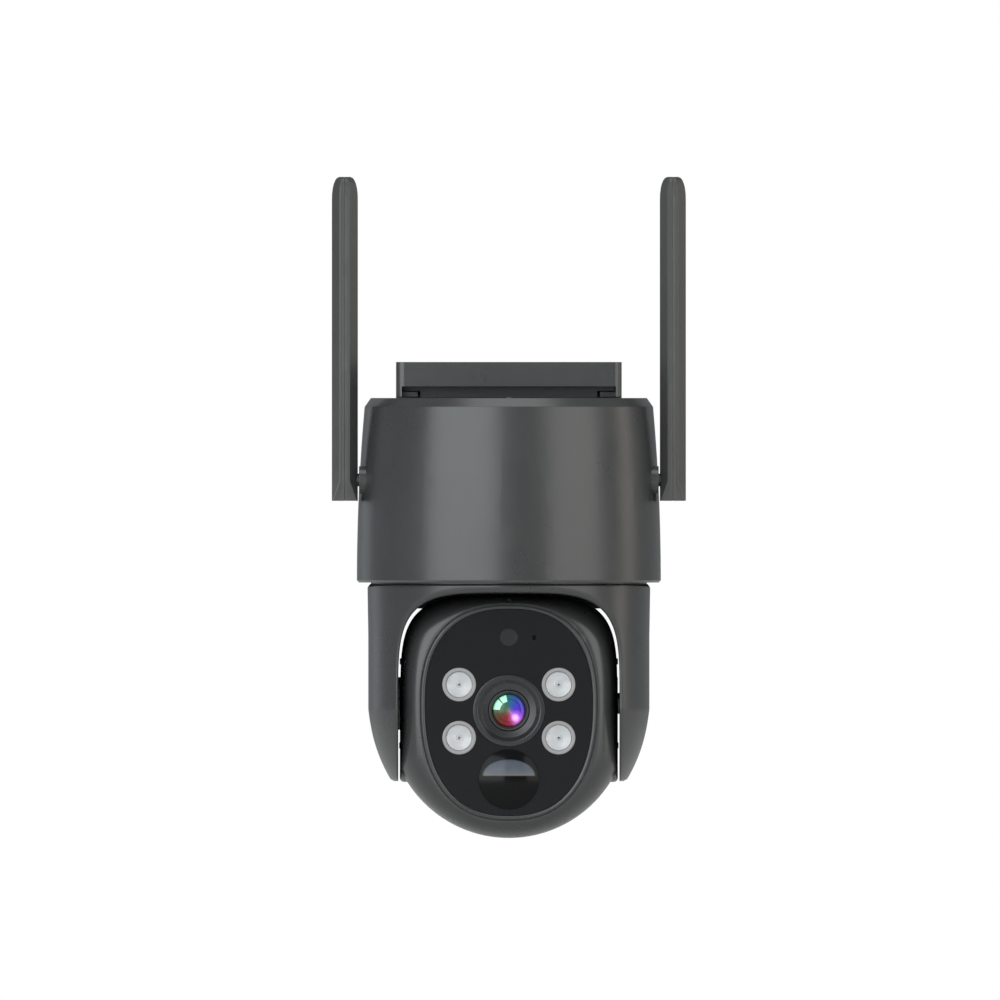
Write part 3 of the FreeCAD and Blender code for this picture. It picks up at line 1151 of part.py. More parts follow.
def nodes():
    """Every node's name and shape."""
    yield "wall_bracket", wall_bracket()
    yield "bracket_lock_screw", bracket_lock_screw()
    yield "slide_shoe", shoe_block()
    yield "shoe_screws", shoe_screw_group()
    yield "housing_cap", housing_cap()
    yield "cap_gasket", cap_gasket()
    yield "cap_screws", cap_screw_group()
    yield "housing_shell", housing_shell()
    yield "battery_tray", battery_tray()
    yield "battery_cells", battery_cells()
    yield "main_board", main_board()
    yield "board_components", board_components()
    yield "inside_screws", inside_screws()
    yield "pan_motor", pan_motor()
    yield "pan_pinion", pan_pinion()
    yield "pan_bushing", pan_bushing()
    yield "speaker", speaker()
    yield "charging_socket", charging_socket()
    yield "port_flap", port_flap()
    yield "power_button", power_button()
    post = antenna_post()
    yield "antenna_post_right", post
    yield "antenna_post_left", mirrored(post)
    for name, piece in zip(("inner_case", "outer_case", "radiator"), antenna_pieces()):
        yield "antenna_right_" + name, piece
        yield "antenna_left_" + name, mirrored(piece)
    yield "yoke_shell", yoke_shell()
    yield "pan_hub", pan_hub()
    yield "pan_gear", pan_gear()
    yield "hub_retaining_ring", hub_retaining_ring()
    yield "yoke_cover_left", arm_cover(-1)
    yield "yoke_cover_right", arm_cover(1)
    yield "yoke_screws", yoke_screw_group()
    yield "tilt_hub", tilt_hub()
    yield "tilt_pin", tilt_pin()
    yield "tilt_gear", tilt_gear()
    yield "tilt_pinion", tilt_pinion()
    yield "tilt_motor", tilt_motor()
    front, rear, gasket = head_shells()
    yield "head_front_shell", front
    yield "head_rear_shell", rear
    yield "head_gasket", gasket
    yield "head_screws", head_screw_group()
    yield "service_cover", service_cover()
    yield "face_panel", face_panel()
    yield "led_rings", led_rings()
    yield "led_optics", led_optics()
    yield "led_emitters", led_emitters()
    yield "front_board", front_board()
    yield "lens_bezel", lens_bezel()
    yield "lens_barrel", lens_barrel()
    yield "lens_front_glass", lens_front_glass()
    yield "lens_holder", lens_holder()
    yield "image_sensor", image_sensor()
    yield "sensor_board", sensor_board()
    yield "pir_lens", pir_lens()
    yield "pir_sensor", pir_sensor()
    yield "light_sensor_window", light_sensor_window()
    yield "microphone", microphone()


def main():
    os.makedirs("parts", exist_ok=True)
    count = 0
    for name, shape in nodes():
        if not shape.isValid():
            print("not valid:", name)
        print(name, len(shape.Solids), "solids", round(shape.Volume / 1000, 2), "cm3")
        shape.exportStep(os.path.join("parts", name + ".step"))
        count += 1
    print(count, "nodes")


main()
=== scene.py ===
# %% [markdown]
# This scene dresses a pan and tilt security camera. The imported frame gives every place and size,
# so the first step loads it, keeps its box, and reads the two axes that the camera turns about.

# %% Load the frame
import json
import math

import bmesh
import bpy
from mathutils import Matrix, Vector

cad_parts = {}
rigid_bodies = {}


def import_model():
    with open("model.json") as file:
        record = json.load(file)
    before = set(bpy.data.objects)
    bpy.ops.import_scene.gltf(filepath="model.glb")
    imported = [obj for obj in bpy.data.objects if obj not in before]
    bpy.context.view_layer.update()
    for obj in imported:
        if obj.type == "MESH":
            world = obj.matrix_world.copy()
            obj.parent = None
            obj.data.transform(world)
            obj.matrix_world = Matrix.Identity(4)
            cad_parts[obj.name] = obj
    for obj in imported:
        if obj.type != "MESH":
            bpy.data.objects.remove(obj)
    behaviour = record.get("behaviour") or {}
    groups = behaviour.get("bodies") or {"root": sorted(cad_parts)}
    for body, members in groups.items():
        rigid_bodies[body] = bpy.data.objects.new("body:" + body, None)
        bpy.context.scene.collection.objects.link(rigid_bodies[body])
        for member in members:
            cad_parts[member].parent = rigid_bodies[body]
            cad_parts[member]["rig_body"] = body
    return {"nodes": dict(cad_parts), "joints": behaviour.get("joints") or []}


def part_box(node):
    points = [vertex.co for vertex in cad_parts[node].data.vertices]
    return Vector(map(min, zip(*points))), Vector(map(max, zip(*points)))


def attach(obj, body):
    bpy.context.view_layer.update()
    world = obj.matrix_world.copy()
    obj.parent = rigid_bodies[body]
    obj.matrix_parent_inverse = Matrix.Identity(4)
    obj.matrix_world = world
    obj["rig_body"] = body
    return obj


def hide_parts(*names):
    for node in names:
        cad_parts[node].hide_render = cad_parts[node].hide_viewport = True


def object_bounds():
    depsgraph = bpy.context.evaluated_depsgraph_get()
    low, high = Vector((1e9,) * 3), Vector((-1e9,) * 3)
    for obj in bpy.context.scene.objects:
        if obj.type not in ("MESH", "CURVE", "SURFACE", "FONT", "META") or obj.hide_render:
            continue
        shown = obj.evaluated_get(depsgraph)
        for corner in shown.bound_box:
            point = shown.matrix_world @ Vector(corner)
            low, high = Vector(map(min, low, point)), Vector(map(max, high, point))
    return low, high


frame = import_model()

cad_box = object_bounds()
nodes = frame["nodes"]
joints = {joint["name"]: joint for joint in frame["joints"]}
pan_y = joints["pan"]["pos_m"][1]
tilt_z = joints["tilt"]["pos_m"][2]
MM = 0.001
slot_of = {name: piece.data.materials[0].name for name, piece in nodes.items()}
for plain in list(bpy.data.materials):
    plain.name = "plain_" + plain.name
print("frame loaded:", len(nodes), "nodes, pan axis y", round(pan_y, 4), "tilt axis z", round(tilt_z, 4))

# %% [markdown]
# The camera looks straight at the front, with no perspective. The floor lies a little under the
# object and the studio is white.

# %% Camera, floor and studio
scene = bpy.context.scene
scene.view_settings.view_transform = "Standard"

viewer_data = bpy.data.cameras.new("viewer")
viewer_data.type = "ORTHO"
viewer_data.ortho_scale = 0.35
viewer = bpy.data.objects.new("viewer", viewer_data)
scene.collection.objects.link(viewer)
viewer.location = (-0.0031, -1.2, tilt_z + 0.0712)
viewer.rotation_euler = (math.pi / 2, 0, 0)
scene.camera = viewer

world = bpy.data.worlds.new("white_studio")
scene.world = world
world.use_nodes = True
sky = world.node_tree
sky.nodes.clear()
sky_out = sky.nodes.new("ShaderNodeOutputWorld")
seen = sky.nodes.new("ShaderNodeBackground")
seen.inputs["Color"].default_value = (1, 1, 1, 1)
fill = sky.nodes.new("ShaderNodeBackground")
fill.inputs["Color"].default_value = (0.93, 0.96, 1, 1)
fill.inputs["Strength"].default_value = 0.30
ray = sky.nodes.new("ShaderNodeLightPath")
choose = sky.nodes.new("ShaderNodeMixShader")
sky.links.new(ray.outputs["Is Camera Ray"], choose.inputs[0])
sky.links.new(fill.outputs[0], choose.inputs[1])
sky.links.new(seen.outputs[0], choose.inputs[2])
sky.links.new(choose.outputs[0], sky_out.inputs["Surface"])


def softbox(name, bearing, height, distance, wide, tall, power, colour):
    """A rectangular light that faces the object, at a bearing to the right of the viewer."""
    light = bpy.data.lights.new(name, "AREA")
    light.shape = "RECTANGLE"
    light.size = wide
    light.size_y = tall
    light.energy = power
    light.color = colour
    lamp = bpy.data.objects.new(name, light)
    scene.collection.objects.link(lamp)
    turn = math.radians(bearing)
    lamp.location = (distance * math.sin(turn), pan_y - distance * math.cos(turn), height)
    aim = Vector((0, pan_y, -0.03)) - lamp.location
    lamp.rotation_euler = aim.to_track_quat("-Z", "Y").to_euler()
    lamp.visible_camera = False
    return lamp


softbox("left_softbox", -36, 0.10, 1.4, 1.50, 1.7, 29.0, (0.93, 0.97, 1.0))
softbox("right_softbox", 52, 0.10, 1.4, 1.15, 1.7, 14.5, (1.0, 0.98, 0.95))
softbox("right_side_strip", 102, 0.10, 1.4, 0.35, 1.5, 3.0, (1.0, 0.93, 0.84))
softbox("left_rear_strip", -138, 0.10, 1.4, 0.45, 1.5, 1.0, (0.86, 0.94, 1.0))
softbox("top_softbox", 0, 1.30, 0.45, 1.2, 0.8, 8.0, (1.0, 1.0, 1.0))

floor_mesh = bpy.data.meshes.new("studio_floor")
floor_z = cad_box[0].z - 0.03
floor_mesh.from_pydata([(x, y, floor_z) for x, y in ((-3, -3), (3, -3), (3, 3), (-3, 3))], [], [(0, 1, 2, 3)])
studio_floor = bpy.data.objects.new("studio_floor", floor_mesh)
scene.collection.objects.link(studio_floor)
print("camera, floor and five softboxes placed")

# %% [markdown]
# Every moulded surface shares one grain and one kind of edge wear. They are made once as shader
# groups. Their inputs are in object coordinates, so the same grain size shows on every piece.

# %% Shared shader groups
def group_tree(name, inputs, outputs):
    """An empty shader group with named sockets; a group socket is (name, kind, default)."""
    tree = bpy.data.node_groups.new(name, "ShaderNodeTree")
    for title, kind, default in inputs:
        socket = tree.interface.new_socket(title, in_out="INPUT", socket_type=kind)
        if default is not None:
            socket.default_value = default
    for title, kind in outputs:
        tree.interface.new_socket(title, in_out="OUTPUT", socket_type=kind)
    return tree, tree.nodes.new("NodeGroupInput"), tree.nodes.new("NodeGroupOutput")


def wire(tree, start, end):
    tree.links.new(start, end)


FLOAT, VECTOR = "NodeSocketFloat", "NodeSocketVector"


def make_moulded_grain():
    """Fine spark-eroded grain over slow mottling: a tone from 0 to 1 and a bumped normal."""
    tree, given, made = group_tree("moulded_grain",
                                   [("Grain scale", FLOAT, 1800.0), ("Depth", FLOAT, 0.15),
                                    ("Slow scale", FLOAT, 35.0)],
                                   [("Tone", FLOAT), ("Fine", FLOAT), ("Normal", VECTOR)])
    place = tree.nodes.new("ShaderNodeTexCoord")
    slow = tree.nodes.new("ShaderNodeTexNoise")
    slow.inputs["Detail"].default_value = 4.0
    slow.inputs["Roughness"].default_value = 0.6
    fine = tree.nodes.new("ShaderNodeTexNoise")
    fine.inputs["Detail"].default_value = 2.0
    fine.inputs["Roughness"].default_value = 0.55
    for texture, key in ((slow, "Slow scale"), (fine, "Grain scale")):
        wire(tree, place.outputs["Object"], texture.inputs["Vector"])
        wire(tree, given.outputs[key], texture.inputs["Scale"])
    bump = tree.nodes.new("ShaderNodeBump")
    bump.inputs["Distance"].default_value = 0.0001
    wire(tree, fine.outputs[0], bump.inputs["Height"])
    wire(tree, given.outputs["Depth"], bump.inputs["Strength"])
    wire(tree, slow.outputs[0], made.inputs["Tone"])
    wire(tree, fine.outputs[0], made.inputs["Fine"])
    wire(tree, bump.outputs[0], made.inputs["Normal"])
    return tree


def make_edge_rub():
    """A mask that is 1 on convex edges, broken up by noise, where handling polishes the plastic."""
    tree, given, made = group_tree("edge_rub", [("Start", FLOAT, 0.53), ("End", FLOAT, 0.62)],
                                   [("Mask", FLOAT)])
    shape = tree.nodes.new("ShaderNodeNewGeometry")
    place = tree.nodes.new("ShaderNodeTexCoord")
    patches = tree.nodes.new("ShaderNodeTexNoise")
    patches.inputs["Scale"].default_value = 120.0
    patches.inputs["Detail"].default_value = 3.0
    wire(tree, place.outputs["Object"], patches.inputs["Vector"])
    ramp = tree.nodes.new("ShaderNodeMapRange")
    wire(tree, shape.outputs["Pointiness"], ramp.inputs["Value"])
    wire(tree, given.outputs["Start"], ramp.inputs["From Min"])
    wire(tree, given.outputs["End"], ramp.inputs["From Max"])
    both = tree.nodes.new("ShaderNodeMath")
    both.operation = "MULTIPLY"
    wire(tree, ramp.outputs[0], both.inputs[0])
    wire(tree, patches.outputs[0], both.inputs[1])
    wire(tree, both.outputs[0], made.inputs["Mask"])
    return tree


moulded_grain = make_moulded_grain()
edge_rub = make_edge_rub()
print("shader groups:", moulded_grain.name, edge_rub.name)

# %% [markdown]
# The finishes. Each one starts from the same recipe: a base colour that drifts a little, a roughness
# that follows the mottling, a grain in the normal and paler rubbed edges.

# %% Finishes
def srgb(red, green, blue):
    """A colour as the screen shows it, turned into the linear values that the shaders use."""
    def linear(value):
        share = value / 255
        return share / 12.92 if share <= 0.04045 else ((share + 0.055) / 1.055) ** 2.4
    return (linear(red), linear(green), linear(blue), 1.0)


def shaded(colour, factor):
    return tuple(min(1.0, part * factor) for part in colour[:3]) + (1.0,)


def finish(name, colour, rough, drift=0.10, rough_drift=0.08, grain=1800.0, depth=0.15, rub=0.35, slow=35.0,
           **constants):
    """A surface finish. constants are set on the main shader's own sockets."""
    material = bpy.data.materials.new(name)
    material.use_nodes = True
    tree = material.node_tree
    shader = tree.nodes["Principled BSDF"]
    for key, value in constants.items():
        shader.inputs[key.replace("_", " ")].default_value = value
    texture = tree.nodes.new("ShaderNodeGroup")
    texture.node_tree = moulded_grain
    texture.inputs["Grain scale"].default_value = grain
    texture.inputs["Depth"].default_value = depth
    texture.inputs["Slow scale"].default_value = slow
    tones = tree.nodes.new("ShaderNodeMix")
    tones.data_type = "RGBA"
    tones.inputs["A"].default_value = shaded(colour, 1 - drift)
    tones.inputs["B"].default_value = shaded(colour, 1 + drift)
    wire(tree, texture.outputs["Tone"], tones.inputs["Factor"])
    last = tones.outputs["Result"]
    if rub:
        edges = tree.nodes.new("ShaderNodeGroup")
        edges.node_tree = edge_rub
        worn = tree.nodes.new("ShaderNodeMix")
        worn.data_type = "RGBA"
        worn.inputs["B"].default_value = shaded(colour, 1 + 3 * rub)
        wire(tree, edges.outputs["Mask"], worn.inputs["Factor"])
        wire(tree, last, worn.inputs["A"])
        last = worn.outputs["Result"]
    wire(tree, last, shader.inputs["Base Color"])
    shine = tree.nodes.new("ShaderNodeMapRange")
    shine.inputs["To Min"].default_value = max(0.02, rough - rough_drift)
    shine.inputs["To Max"].default_value = rough + rough_drift
    wire(tree, texture.outputs["Tone"], shine.inputs["Value"])
    wire(tree, shine.outputs[0], shader.inputs["Roughness"])
    wire(tree, texture.outputs["Normal"], shader.inputs["Normal"])
    return material


satin_charcoal = finish("satin_charcoal", srgb(50, 51, 51), 0.29)
dark_moulding = finish("dark_moulding", srgb(34, 35, 36), 0.45)
antenna_plastic = finish("antenna_plastic", srgb(54, 54, 53), 0.42, grain=1500.0, depth=0.2)
zinc_screw = finish("zinc_screw", srgb(178, 180, 184), 0.32, grain=2600.0, depth=0.1, Metallic=1.0)
black_rubber = finish("black_rubber", srgb(24, 24, 25), 0.75, grain=900.0, depth=0.3)
cell_wrap = finish("cell_wrap", srgb(40, 92, 120), 0.35, grain=400.0, depth=0.1)
green_board = finish("green_board", srgb(24, 84, 52), 0.40, grain=700.0, depth=0.2)
motor_steel = finish("motor_steel", srgb(160, 162, 165), 0.30, grain=1200.0, Metallic=1.0)
white_nylon = finish("white_nylon", srgb(220, 218, 208), 0.45)
gloss_black = finish("gloss_black", srgb(14, 14, 15), 0.10, drift=0.05, rough_drift=0.02, depth=0.01, rub=0.0,
                     Coat_Weight=0.3, Coat_Roughness=0.04)
bezel_grey = finish("bezel_grey", srgb(32, 33, 35), 0.26, grain=2200.0)
led_ring_grey = finish("led_ring_grey", srgb(136, 135, 134), 0.34, grain=2200.0, depth=0.05, rub=0.1)
smoked_window = finish("smoked_window", srgb(20, 20, 22), 0.22, depth=0.02, rub=0.0, Coat_Weight=0.5)
sensor_silicon = finish("sensor_silicon", srgb(58, 50, 76), 0.15, grain=300.0, depth=0.02, rub=0.0,
                        Metallic=0.5)
brass_strip = finish("brass_strip", srgb(196, 164, 92), 0.35, Metallic=1.0)
led_phosphor = finish("led_phosphor", srgb(240, 214, 110), 0.60, grain=1500.0, rub=0.0)
studio_paper = finish("studio_paper", srgb(236, 236, 234), 0.85, drift=0.01, grain=60.0, depth=0.05, rub=0.0)
floor_mesh.materials.append(studio_paper)

# %% [markdown]
# The special finishes: clear plastic for the lights, and the coated front glass.

# %% Clear and coated finishes
def clear_finish(name, tint, rough, index, weight=1.0):
    """Clear moulded plastic or glass; its index is set on the shader itself."""
    material = finish(name, tint, rough, drift=0.02, rough_drift=0.02, depth=0.02, rub=0.0)
    shader = material.node_tree.nodes["Principled BSDF"]
    shader.inputs["Transmission Weight"].default_value = weight
    shader.inputs["IOR"].default_value = index
    return material


led_clear = clear_finish("led_clear", srgb(246, 248, 250), 0.12, 1.49, 0.6)
lens_glass = clear_finish("lens_glass", srgb(30, 34, 40), 0.04, 1.52, 0.2)

finishes = {m.name: m for m in (satin_charcoal, dark_moulding, antenna_plastic, zinc_screw, black_rubber,
                                cell_wrap, green_board, motor_steel, white_nylon, gloss_black, bezel_grey,
                                led_ring_grey, led_clear, led_phosphor, lens_glass, smoked_window,
                                sensor_silicon, brass_strip)}
for name, piece in nodes.items():
    material = finishes[slot_of[name]]
    piece.data.materials.clear()
    piece.data.materials.append(material)
print("finished", len(nodes), "CAD nodes;", len(slot_of), "have a slot")

# %% [markdown]
# Small makers for the pieces: a mesh from points and faces, a turned solid from an outline, and a
# copy of a CAD node with its edges rounded. Every one ends as a piece that settle puts on a body.

# %% Mesh makers
def shade(mesh, sharp_angle=32):
    """Smooth shading that breaks where two faces meet at more than sharp_angle."""
    limit = math.radians(sharp_angle)
    work = bmesh.new()
    work.from_mesh(mesh)
    for face in work.faces:
        face.smooth = True
    for edge in work.edges:
        edge.smooth = len(edge.link_faces) == 2 and edge.calc_face_angle(0.0) < limit
    work.to_mesh(mesh)
    work.free()


def even_normals(piece):
    """Large faces keep flat shading next to small rounded ones."""
    weighted = piece.modifiers.new("even normals", "WEIGHTED_NORMAL")
    weighted.keep_sharp = True
    weighted.mode = "FACE_AREA"


def piece_from(name, points, faces, material, sharp_angle=32):
    """A closed piece from points in metres; its faces are turned outwards."""
    mesh = bpy.data.meshes.new(name)
    mesh.from_pydata([tuple(p) for p in points], [], faces)
    work = bmesh.new()
    work.from_mesh(mesh)
    bmesh.ops.remove_doubles(work, verts=work.verts, dist=1e-7)
    bmesh.ops.recalc_face_normals(work, faces=work.faces)
    work.to_mesh(mesh)
    work.free()
    mesh.materials.append(material)
    shade(mesh, sharp_angle)
    piece = bpy.data.objects.new(name, mesh)
    scene.collection.objects.link(piece)
    return piece


def settle(piece, body, slot, *stands_for):
    """The piece rides on a body and stands for CAD nodes; slot is not used."""
    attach(piece, body)
    if stands_for:
        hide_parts(*stands_for)
    return piece


def round_corners(outline, steps=5):
    """Replaces each corner of a closed outline of (radius, height, rounding) with an arc."""
    path = []
    count = len(outline)
    for i, (radius, height, rounding) in enumerate(outline):
        here = Vector((radius, height))
        if rounding <= 0:
            path.append(here)
            continue
        before = Vector(outline[i - 1][:2]) - here
        after = Vector(outline[(i + 1) % count][:2]) - here
        reach = min(rounding, before.length * 0.49, after.length * 0.49)
        start, end = here + before.normalized() * reach, here + after.normalized() * reach
        for k in range(steps + 1):
            t = k / steps
            path.append(start * (1 - t) ** 2 + here * 2 * t * (1 - t) + end * t ** 2)
    return path


def turned_mesh(outline, towards="Z", segments=160):
    """Points and faces of a solid of revolution. The outline is closed, in mm; towards is its axis."""
    path = round_corners(outline)
    points, rings, faces = [], [], []
    for radius, height in path:
        if radius < 1e-6:
            rings.append([len(points)])
            points.append((0.0, 0.0, height))
            continue
        rings.append(list(range(len(points), len(points) + segments)))
        for k in range(segments):
            angle = 2 * math.pi * k / segments
            points.append((radius * math.cos(angle), radius * math.sin(angle), height))
    for i, ring in enumerate(rings):
        other = rings[(i + 1) % len(rings)]
        if len(ring) == 1 and len(other) == 1:
            continue
        for k in range(segments):
            n = (k + 1) % segments
            if len(ring) == 1:
                faces.append((ring[0], other[n], other[k]))
            elif len(other) == 1:
                faces.append((ring[k], ring[n], other[0]))
            else:
                faces.append((ring[k], ring[n], other[n], other[k]))
    if towards == "-Y":
        points = [(a, -h, b) for a, b, h in points]
    if towards == "X":
        points = [(h, a, b) for a, b, h in points]
    return points, faces


def turned_piece(name, outline, centre, material, towards="Z", segments=160):
    """A turned solid in its place. The outline is in mm, centre in metres."""
    points, faces = turned_mesh(outline, towards, segments)
    place = Vector(centre)
    return piece_from(name, [Vector(p) * MM + place for p in points], faces, material)


def rounded_copy(node, width, material, angle=38, segments=3, name=None):
    """A copy of a CAD node with its sharp edges rounded by width, in mm."""
    mesh = nodes[node].data.copy()
    mesh.name = name or node + "_moulded"
    if mesh.has_custom_normals:
        mesh.attributes.remove(mesh.attributes["custom_normal"])
    work = bmesh.new()
    work.from_mesh(mesh)
    bmesh.ops.remove_doubles(work, verts=work.verts, dist=2e-6)
    bmesh.ops.dissolve_limit(work, angle_limit=math.radians(0.6), verts=work.verts, edges=work.edges)
    bmesh.ops.recalc_face_normals(work, faces=work.faces)
    work.to_mesh(mesh)
    work.free()
    mesh.materials.clear()
    mesh.materials.append(material)
    shade(mesh, angle)
    piece = bpy.data.objects.new(name or node + "_moulded", mesh)
    scene.collection.objects.link(piece)
    if width:
        edges = piece.modifiers.new("rounded edges", "BEVEL")
        edges.width = width * MM
        edges.segments = segments
        edges.limit_method = "ANGLE"
        edges.angle_limit = math.radians(angle)
        edges.harden_normals = False
        edges.use_clamp_overlap = True
    even_normals(piece)
    return piece


def cut_away(piece, *cutters):
    """Cuts closed meshes out of a piece for good."""
    for cutter in cutters:
        step = piece.modifiers.new("cut", "BOOLEAN")
        step.operation = "DIFFERENCE"
        step.solver = "EXACT"
        step.object = cutter
    graph = bpy.context.evaluated_depsgraph_get()
    mesh = bpy.data.meshes.new_from_object(piece.evaluated_get(graph))
    for step in list(piece.modifiers):
        piece.modifiers.remove(step)
    piece.data = mesh
    for cutter in cutters:
        bpy.data.objects.remove(cutter)
    shade(piece.data)
    return piece


def body_of_node(node):
    return nodes[node]["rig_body"]


print("mesh makers ready")

# %% [markdown]
# Pieces whose CAD shape is already right keep it and only get the small rounded edges that moulded
# plastic has: the bracket, the shoe, the housing, the antennas, their posts, the flap and the covers.

# %% Rounded moulded pieces
rounded = (("wall_bracket", 0.8), ("slide_shoe", 0.5), ("housing_cap", 0.35), ("housing_shell", 0.3),
           ("antenna_post_left", 0.4), ("antenna_post_right", 0.4),
           ("power_button", 0.35), ("port_flap", 0.3),
           ("antenna_left_inner_case", 0.25), ("antenna_left_outer_case", 0.25),
           ("antenna_right_inner_case", 0.25), ("antenna_right_outer_case", 0.25), ("face_panel", 0.12))
for node, width in rounded:
    piece = rounded_copy(node, width, finishes[slot_of[node]])
    settle(piece, body_of_node(node), slot_of[node], node)
print("rounded", len(rounded), "pieces")

# %% [markdown]
# The yoke is turned outside and has a squarish tunnel through it. Its skin is made as a grid: one
# direction runs along the tunnel's edge, the other from that edge out to the silhouette. The first
# rows make the broad rounded lip round the tunnel.

# %% Yoke
TUNNEL_HALF, TUNNEL_HIGH, TUNNEL_POWER = 38.7, 38.6, 4.1
YOKE_FOOT, YOKE_HEAD = -27.2, 41.8
LIP_REACH = 2.6


def yoke_radius(z):
    """Radius of the yoke's skin at a height above the tilt axis, with its two edges rounded."""
    if z > -2.0:
        radius = 49.2 + 0.3 * max(0.0, (z - 23.8) / 18.0)
    else:
        t = (-2.0 - z) / 25.2
        radius = 49.2 - 3.05 * t - 5.15 * t ** 2.4
    for edge, way in ((YOKE_FOOT, 1), (YOKE_HEAD, -1)):
        near = 1 - (z - edge) * way / 0.9
        if near > 0:
            radius -= 0.9 * (1 - math.sqrt(max(0.0, 1 - near * near)))
    return radius


def tunnel_edge(share):
    """A point (x, z) of the tunnel's outline: 0 and 1 are its two feet."""
    straight = -YOKE_FOOT
    length = 2 * straight + 2.75 * TUNNEL_HALF
    run = share * length
    if run < straight:
        return TUNNEL_HALF, YOKE_FOOT + run
    if run > length - straight:
        return -TUNNEL_HALF, YOKE_FOOT + length - run
    angle = math.pi * (run - straight) / (length - 2 * straight)
    c, s = math.cos(angle), math.sin(angle)
    reach = (abs(c / TUNNEL_HALF) ** TUNNEL_POWER + (s / TUNNEL_HIGH) ** TUNNEL_POWER) ** (-1 / TUNNEL_POWER)
    return reach * c, reach * s


def skin_point(angle, z):
    """A point of the front skin: angle 0 is straight ahead, 90 degrees is the side."""
    radius = yoke_radius(z)
    return Vector((radius * math.sin(angle), -radius * math.cos(angle), z))


def yoke_front(steps=220, rows=16, lip_rows=7):
    """Rows of points from inside the tunnel, over the lip, out to the silhouette."""
    columns = []
    for i in range(steps + 1):
        x, z = tunnel_edge(i / steps)
        start = math.asin(max(-1.0, min(1.0, x / yoke_radius(z))))
        if z <= 0:
            out_angle, out_z = math.copysign(math.pi / 2, x), z
        else:
            scale_side = math.pi / 2 / max(1e-9, abs(start))
            scale_top = YOKE_HEAD / z
            scale = min(scale_side, scale_top)
            out_angle, out_z = start * scale, z * scale
            if scale == scale_top:
                out_z = YOKE_HEAD
        edge = skin_point(start, z)
        width = math.hypot((out_angle - start) * 49, out_z - z)
        share = LIP_REACH / max(width, LIP_REACH * 1.2)
        after = skin_point(start + (out_angle - start) * share, z + (out_z - z) * share)
        before = edge + Vector((0, LIP_REACH * 0.9, 0))
        column = [before * (1 - t) ** 2 + edge * 2 * t * (1 - t) + after * t * t
                  for t in [k / lip_rows for k in range(lip_rows + 1)]]
        for k in range(1, rows + 1):
            t = share + (1 - share) * k / rows
            column.append(skin_point(start + (out_angle - start) * t, z + (out_z - z) * t))
        columns.append(column)
    return columns


def make_yoke():
    front = yoke_front()
    height, width = len(front[0]), len(front)
    points = [p for column in front for p in column]
    points += [Vector((p.x, -p.y, p.z)) for column in front for p in column]
    second = width * height
    faces = []
    for i in range(width - 1):
        for k in range(height - 1):
            a, b = i * height + k, (i + 1) * height + k
            faces.append((a, b, b + 1, a + 1))
            faces.append((second + a, second + a + 1, second + b + 1, second + b))
        a, b = i * height, (i + 1) * height
        faces.append((a, second + a, second + b, b))
    for i in (0, width - 1):
        loop = [i * height + k for k in range(height)]
        faces.append(tuple(loop + [second + n for n in reversed(loop)][1:]))
    last = height - 1
    on_top = [i for i in range(width) if abs(front[i][last].z - YOKE_HEAD) < 1e-6]
    loop = [i * height + last for i in on_top]
    faces.append(tuple(loop + [second + n for n in reversed(loop)]))
    place = Vector((0, pan_y, tilt_z))
    return piece_from("yoke_moulded", [p * MM + place for p in points], faces, satin_charcoal)


yoke = make_yoke()
print("yoke:", len(yoke.data.polygons), "faces")
settle(yoke, "yoke", "satin_charcoal", "yoke_shell")


def make_rear_lip():
    """The low apron behind the head that closes the tunnel's upper part from behind."""
    low, start = 33.2, 40.5
    half = TUNNEL_HALF * (1 - (low / TUNNEL_HIGH) ** TUNNEL_POWER) ** (1 / TUNNEL_POWER)
    steps, points = 48, []
    for i in range(steps + 1):
        x = -half + 2 * half * i / steps
        high = TUNNEL_HIGH * (1 - (abs(x) / TUNNEL_HALF) ** TUNNEL_POWER) ** (1 / TUNNEL_POWER) + 0.25
        back = math.sqrt(49.2 ** 2 - x * x) - 0.1
        points += [Vector((x, y, z)) for y, z in ((start, low), (start, high), (back, high), (back, low))]
    faces = [(0, 1, 2, 3), tuple(steps * 4 + k for k in (3, 2, 1, 0))]
    for i in range(steps):
        for k in range(4):
            n = (k + 1) % 4
            faces.append((i * 4 + k, (i + 1) * 4 + k, (i + 1) * 4 + n, i * 4 + n))
    place = Vector((0, pan_y, tilt_z))
    return piece_from("yoke_rear_lip", [p * MM + place for p in points], faces, satin_charcoal)


settle(make_rear_lip(), "yoke", "satin_charcoal")
spigot_top = (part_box("yoke_shell")[1].z - tilt_z) / MM
spigot = turned_piece("yoke_spigot", [(0, 41.2, 0), (48.3, 41.2, 0), (48.3, spigot_top, 0.5),
                                      (20.1, spigot_top, 0.3), (20.1, spigot_top - 2.4, 0),
                                      (0, spigot_top - 2.4, 0)],
                      (0, pan_y, tilt_z), satin_charcoal, "Z", 160)
settle(spigot, "yoke", "satin_charcoal")
print("yoke and rear lip made")

# %% [markdown]
# The head is made of closed outlines stacked from back to front. Each outline is a distance from the
# head's centre line at every angle: a squarish oval at the sides and top, a round chin below. The
# front shell ends in a rounded ridge with a thin groove outside it, which frames the glossy panel.

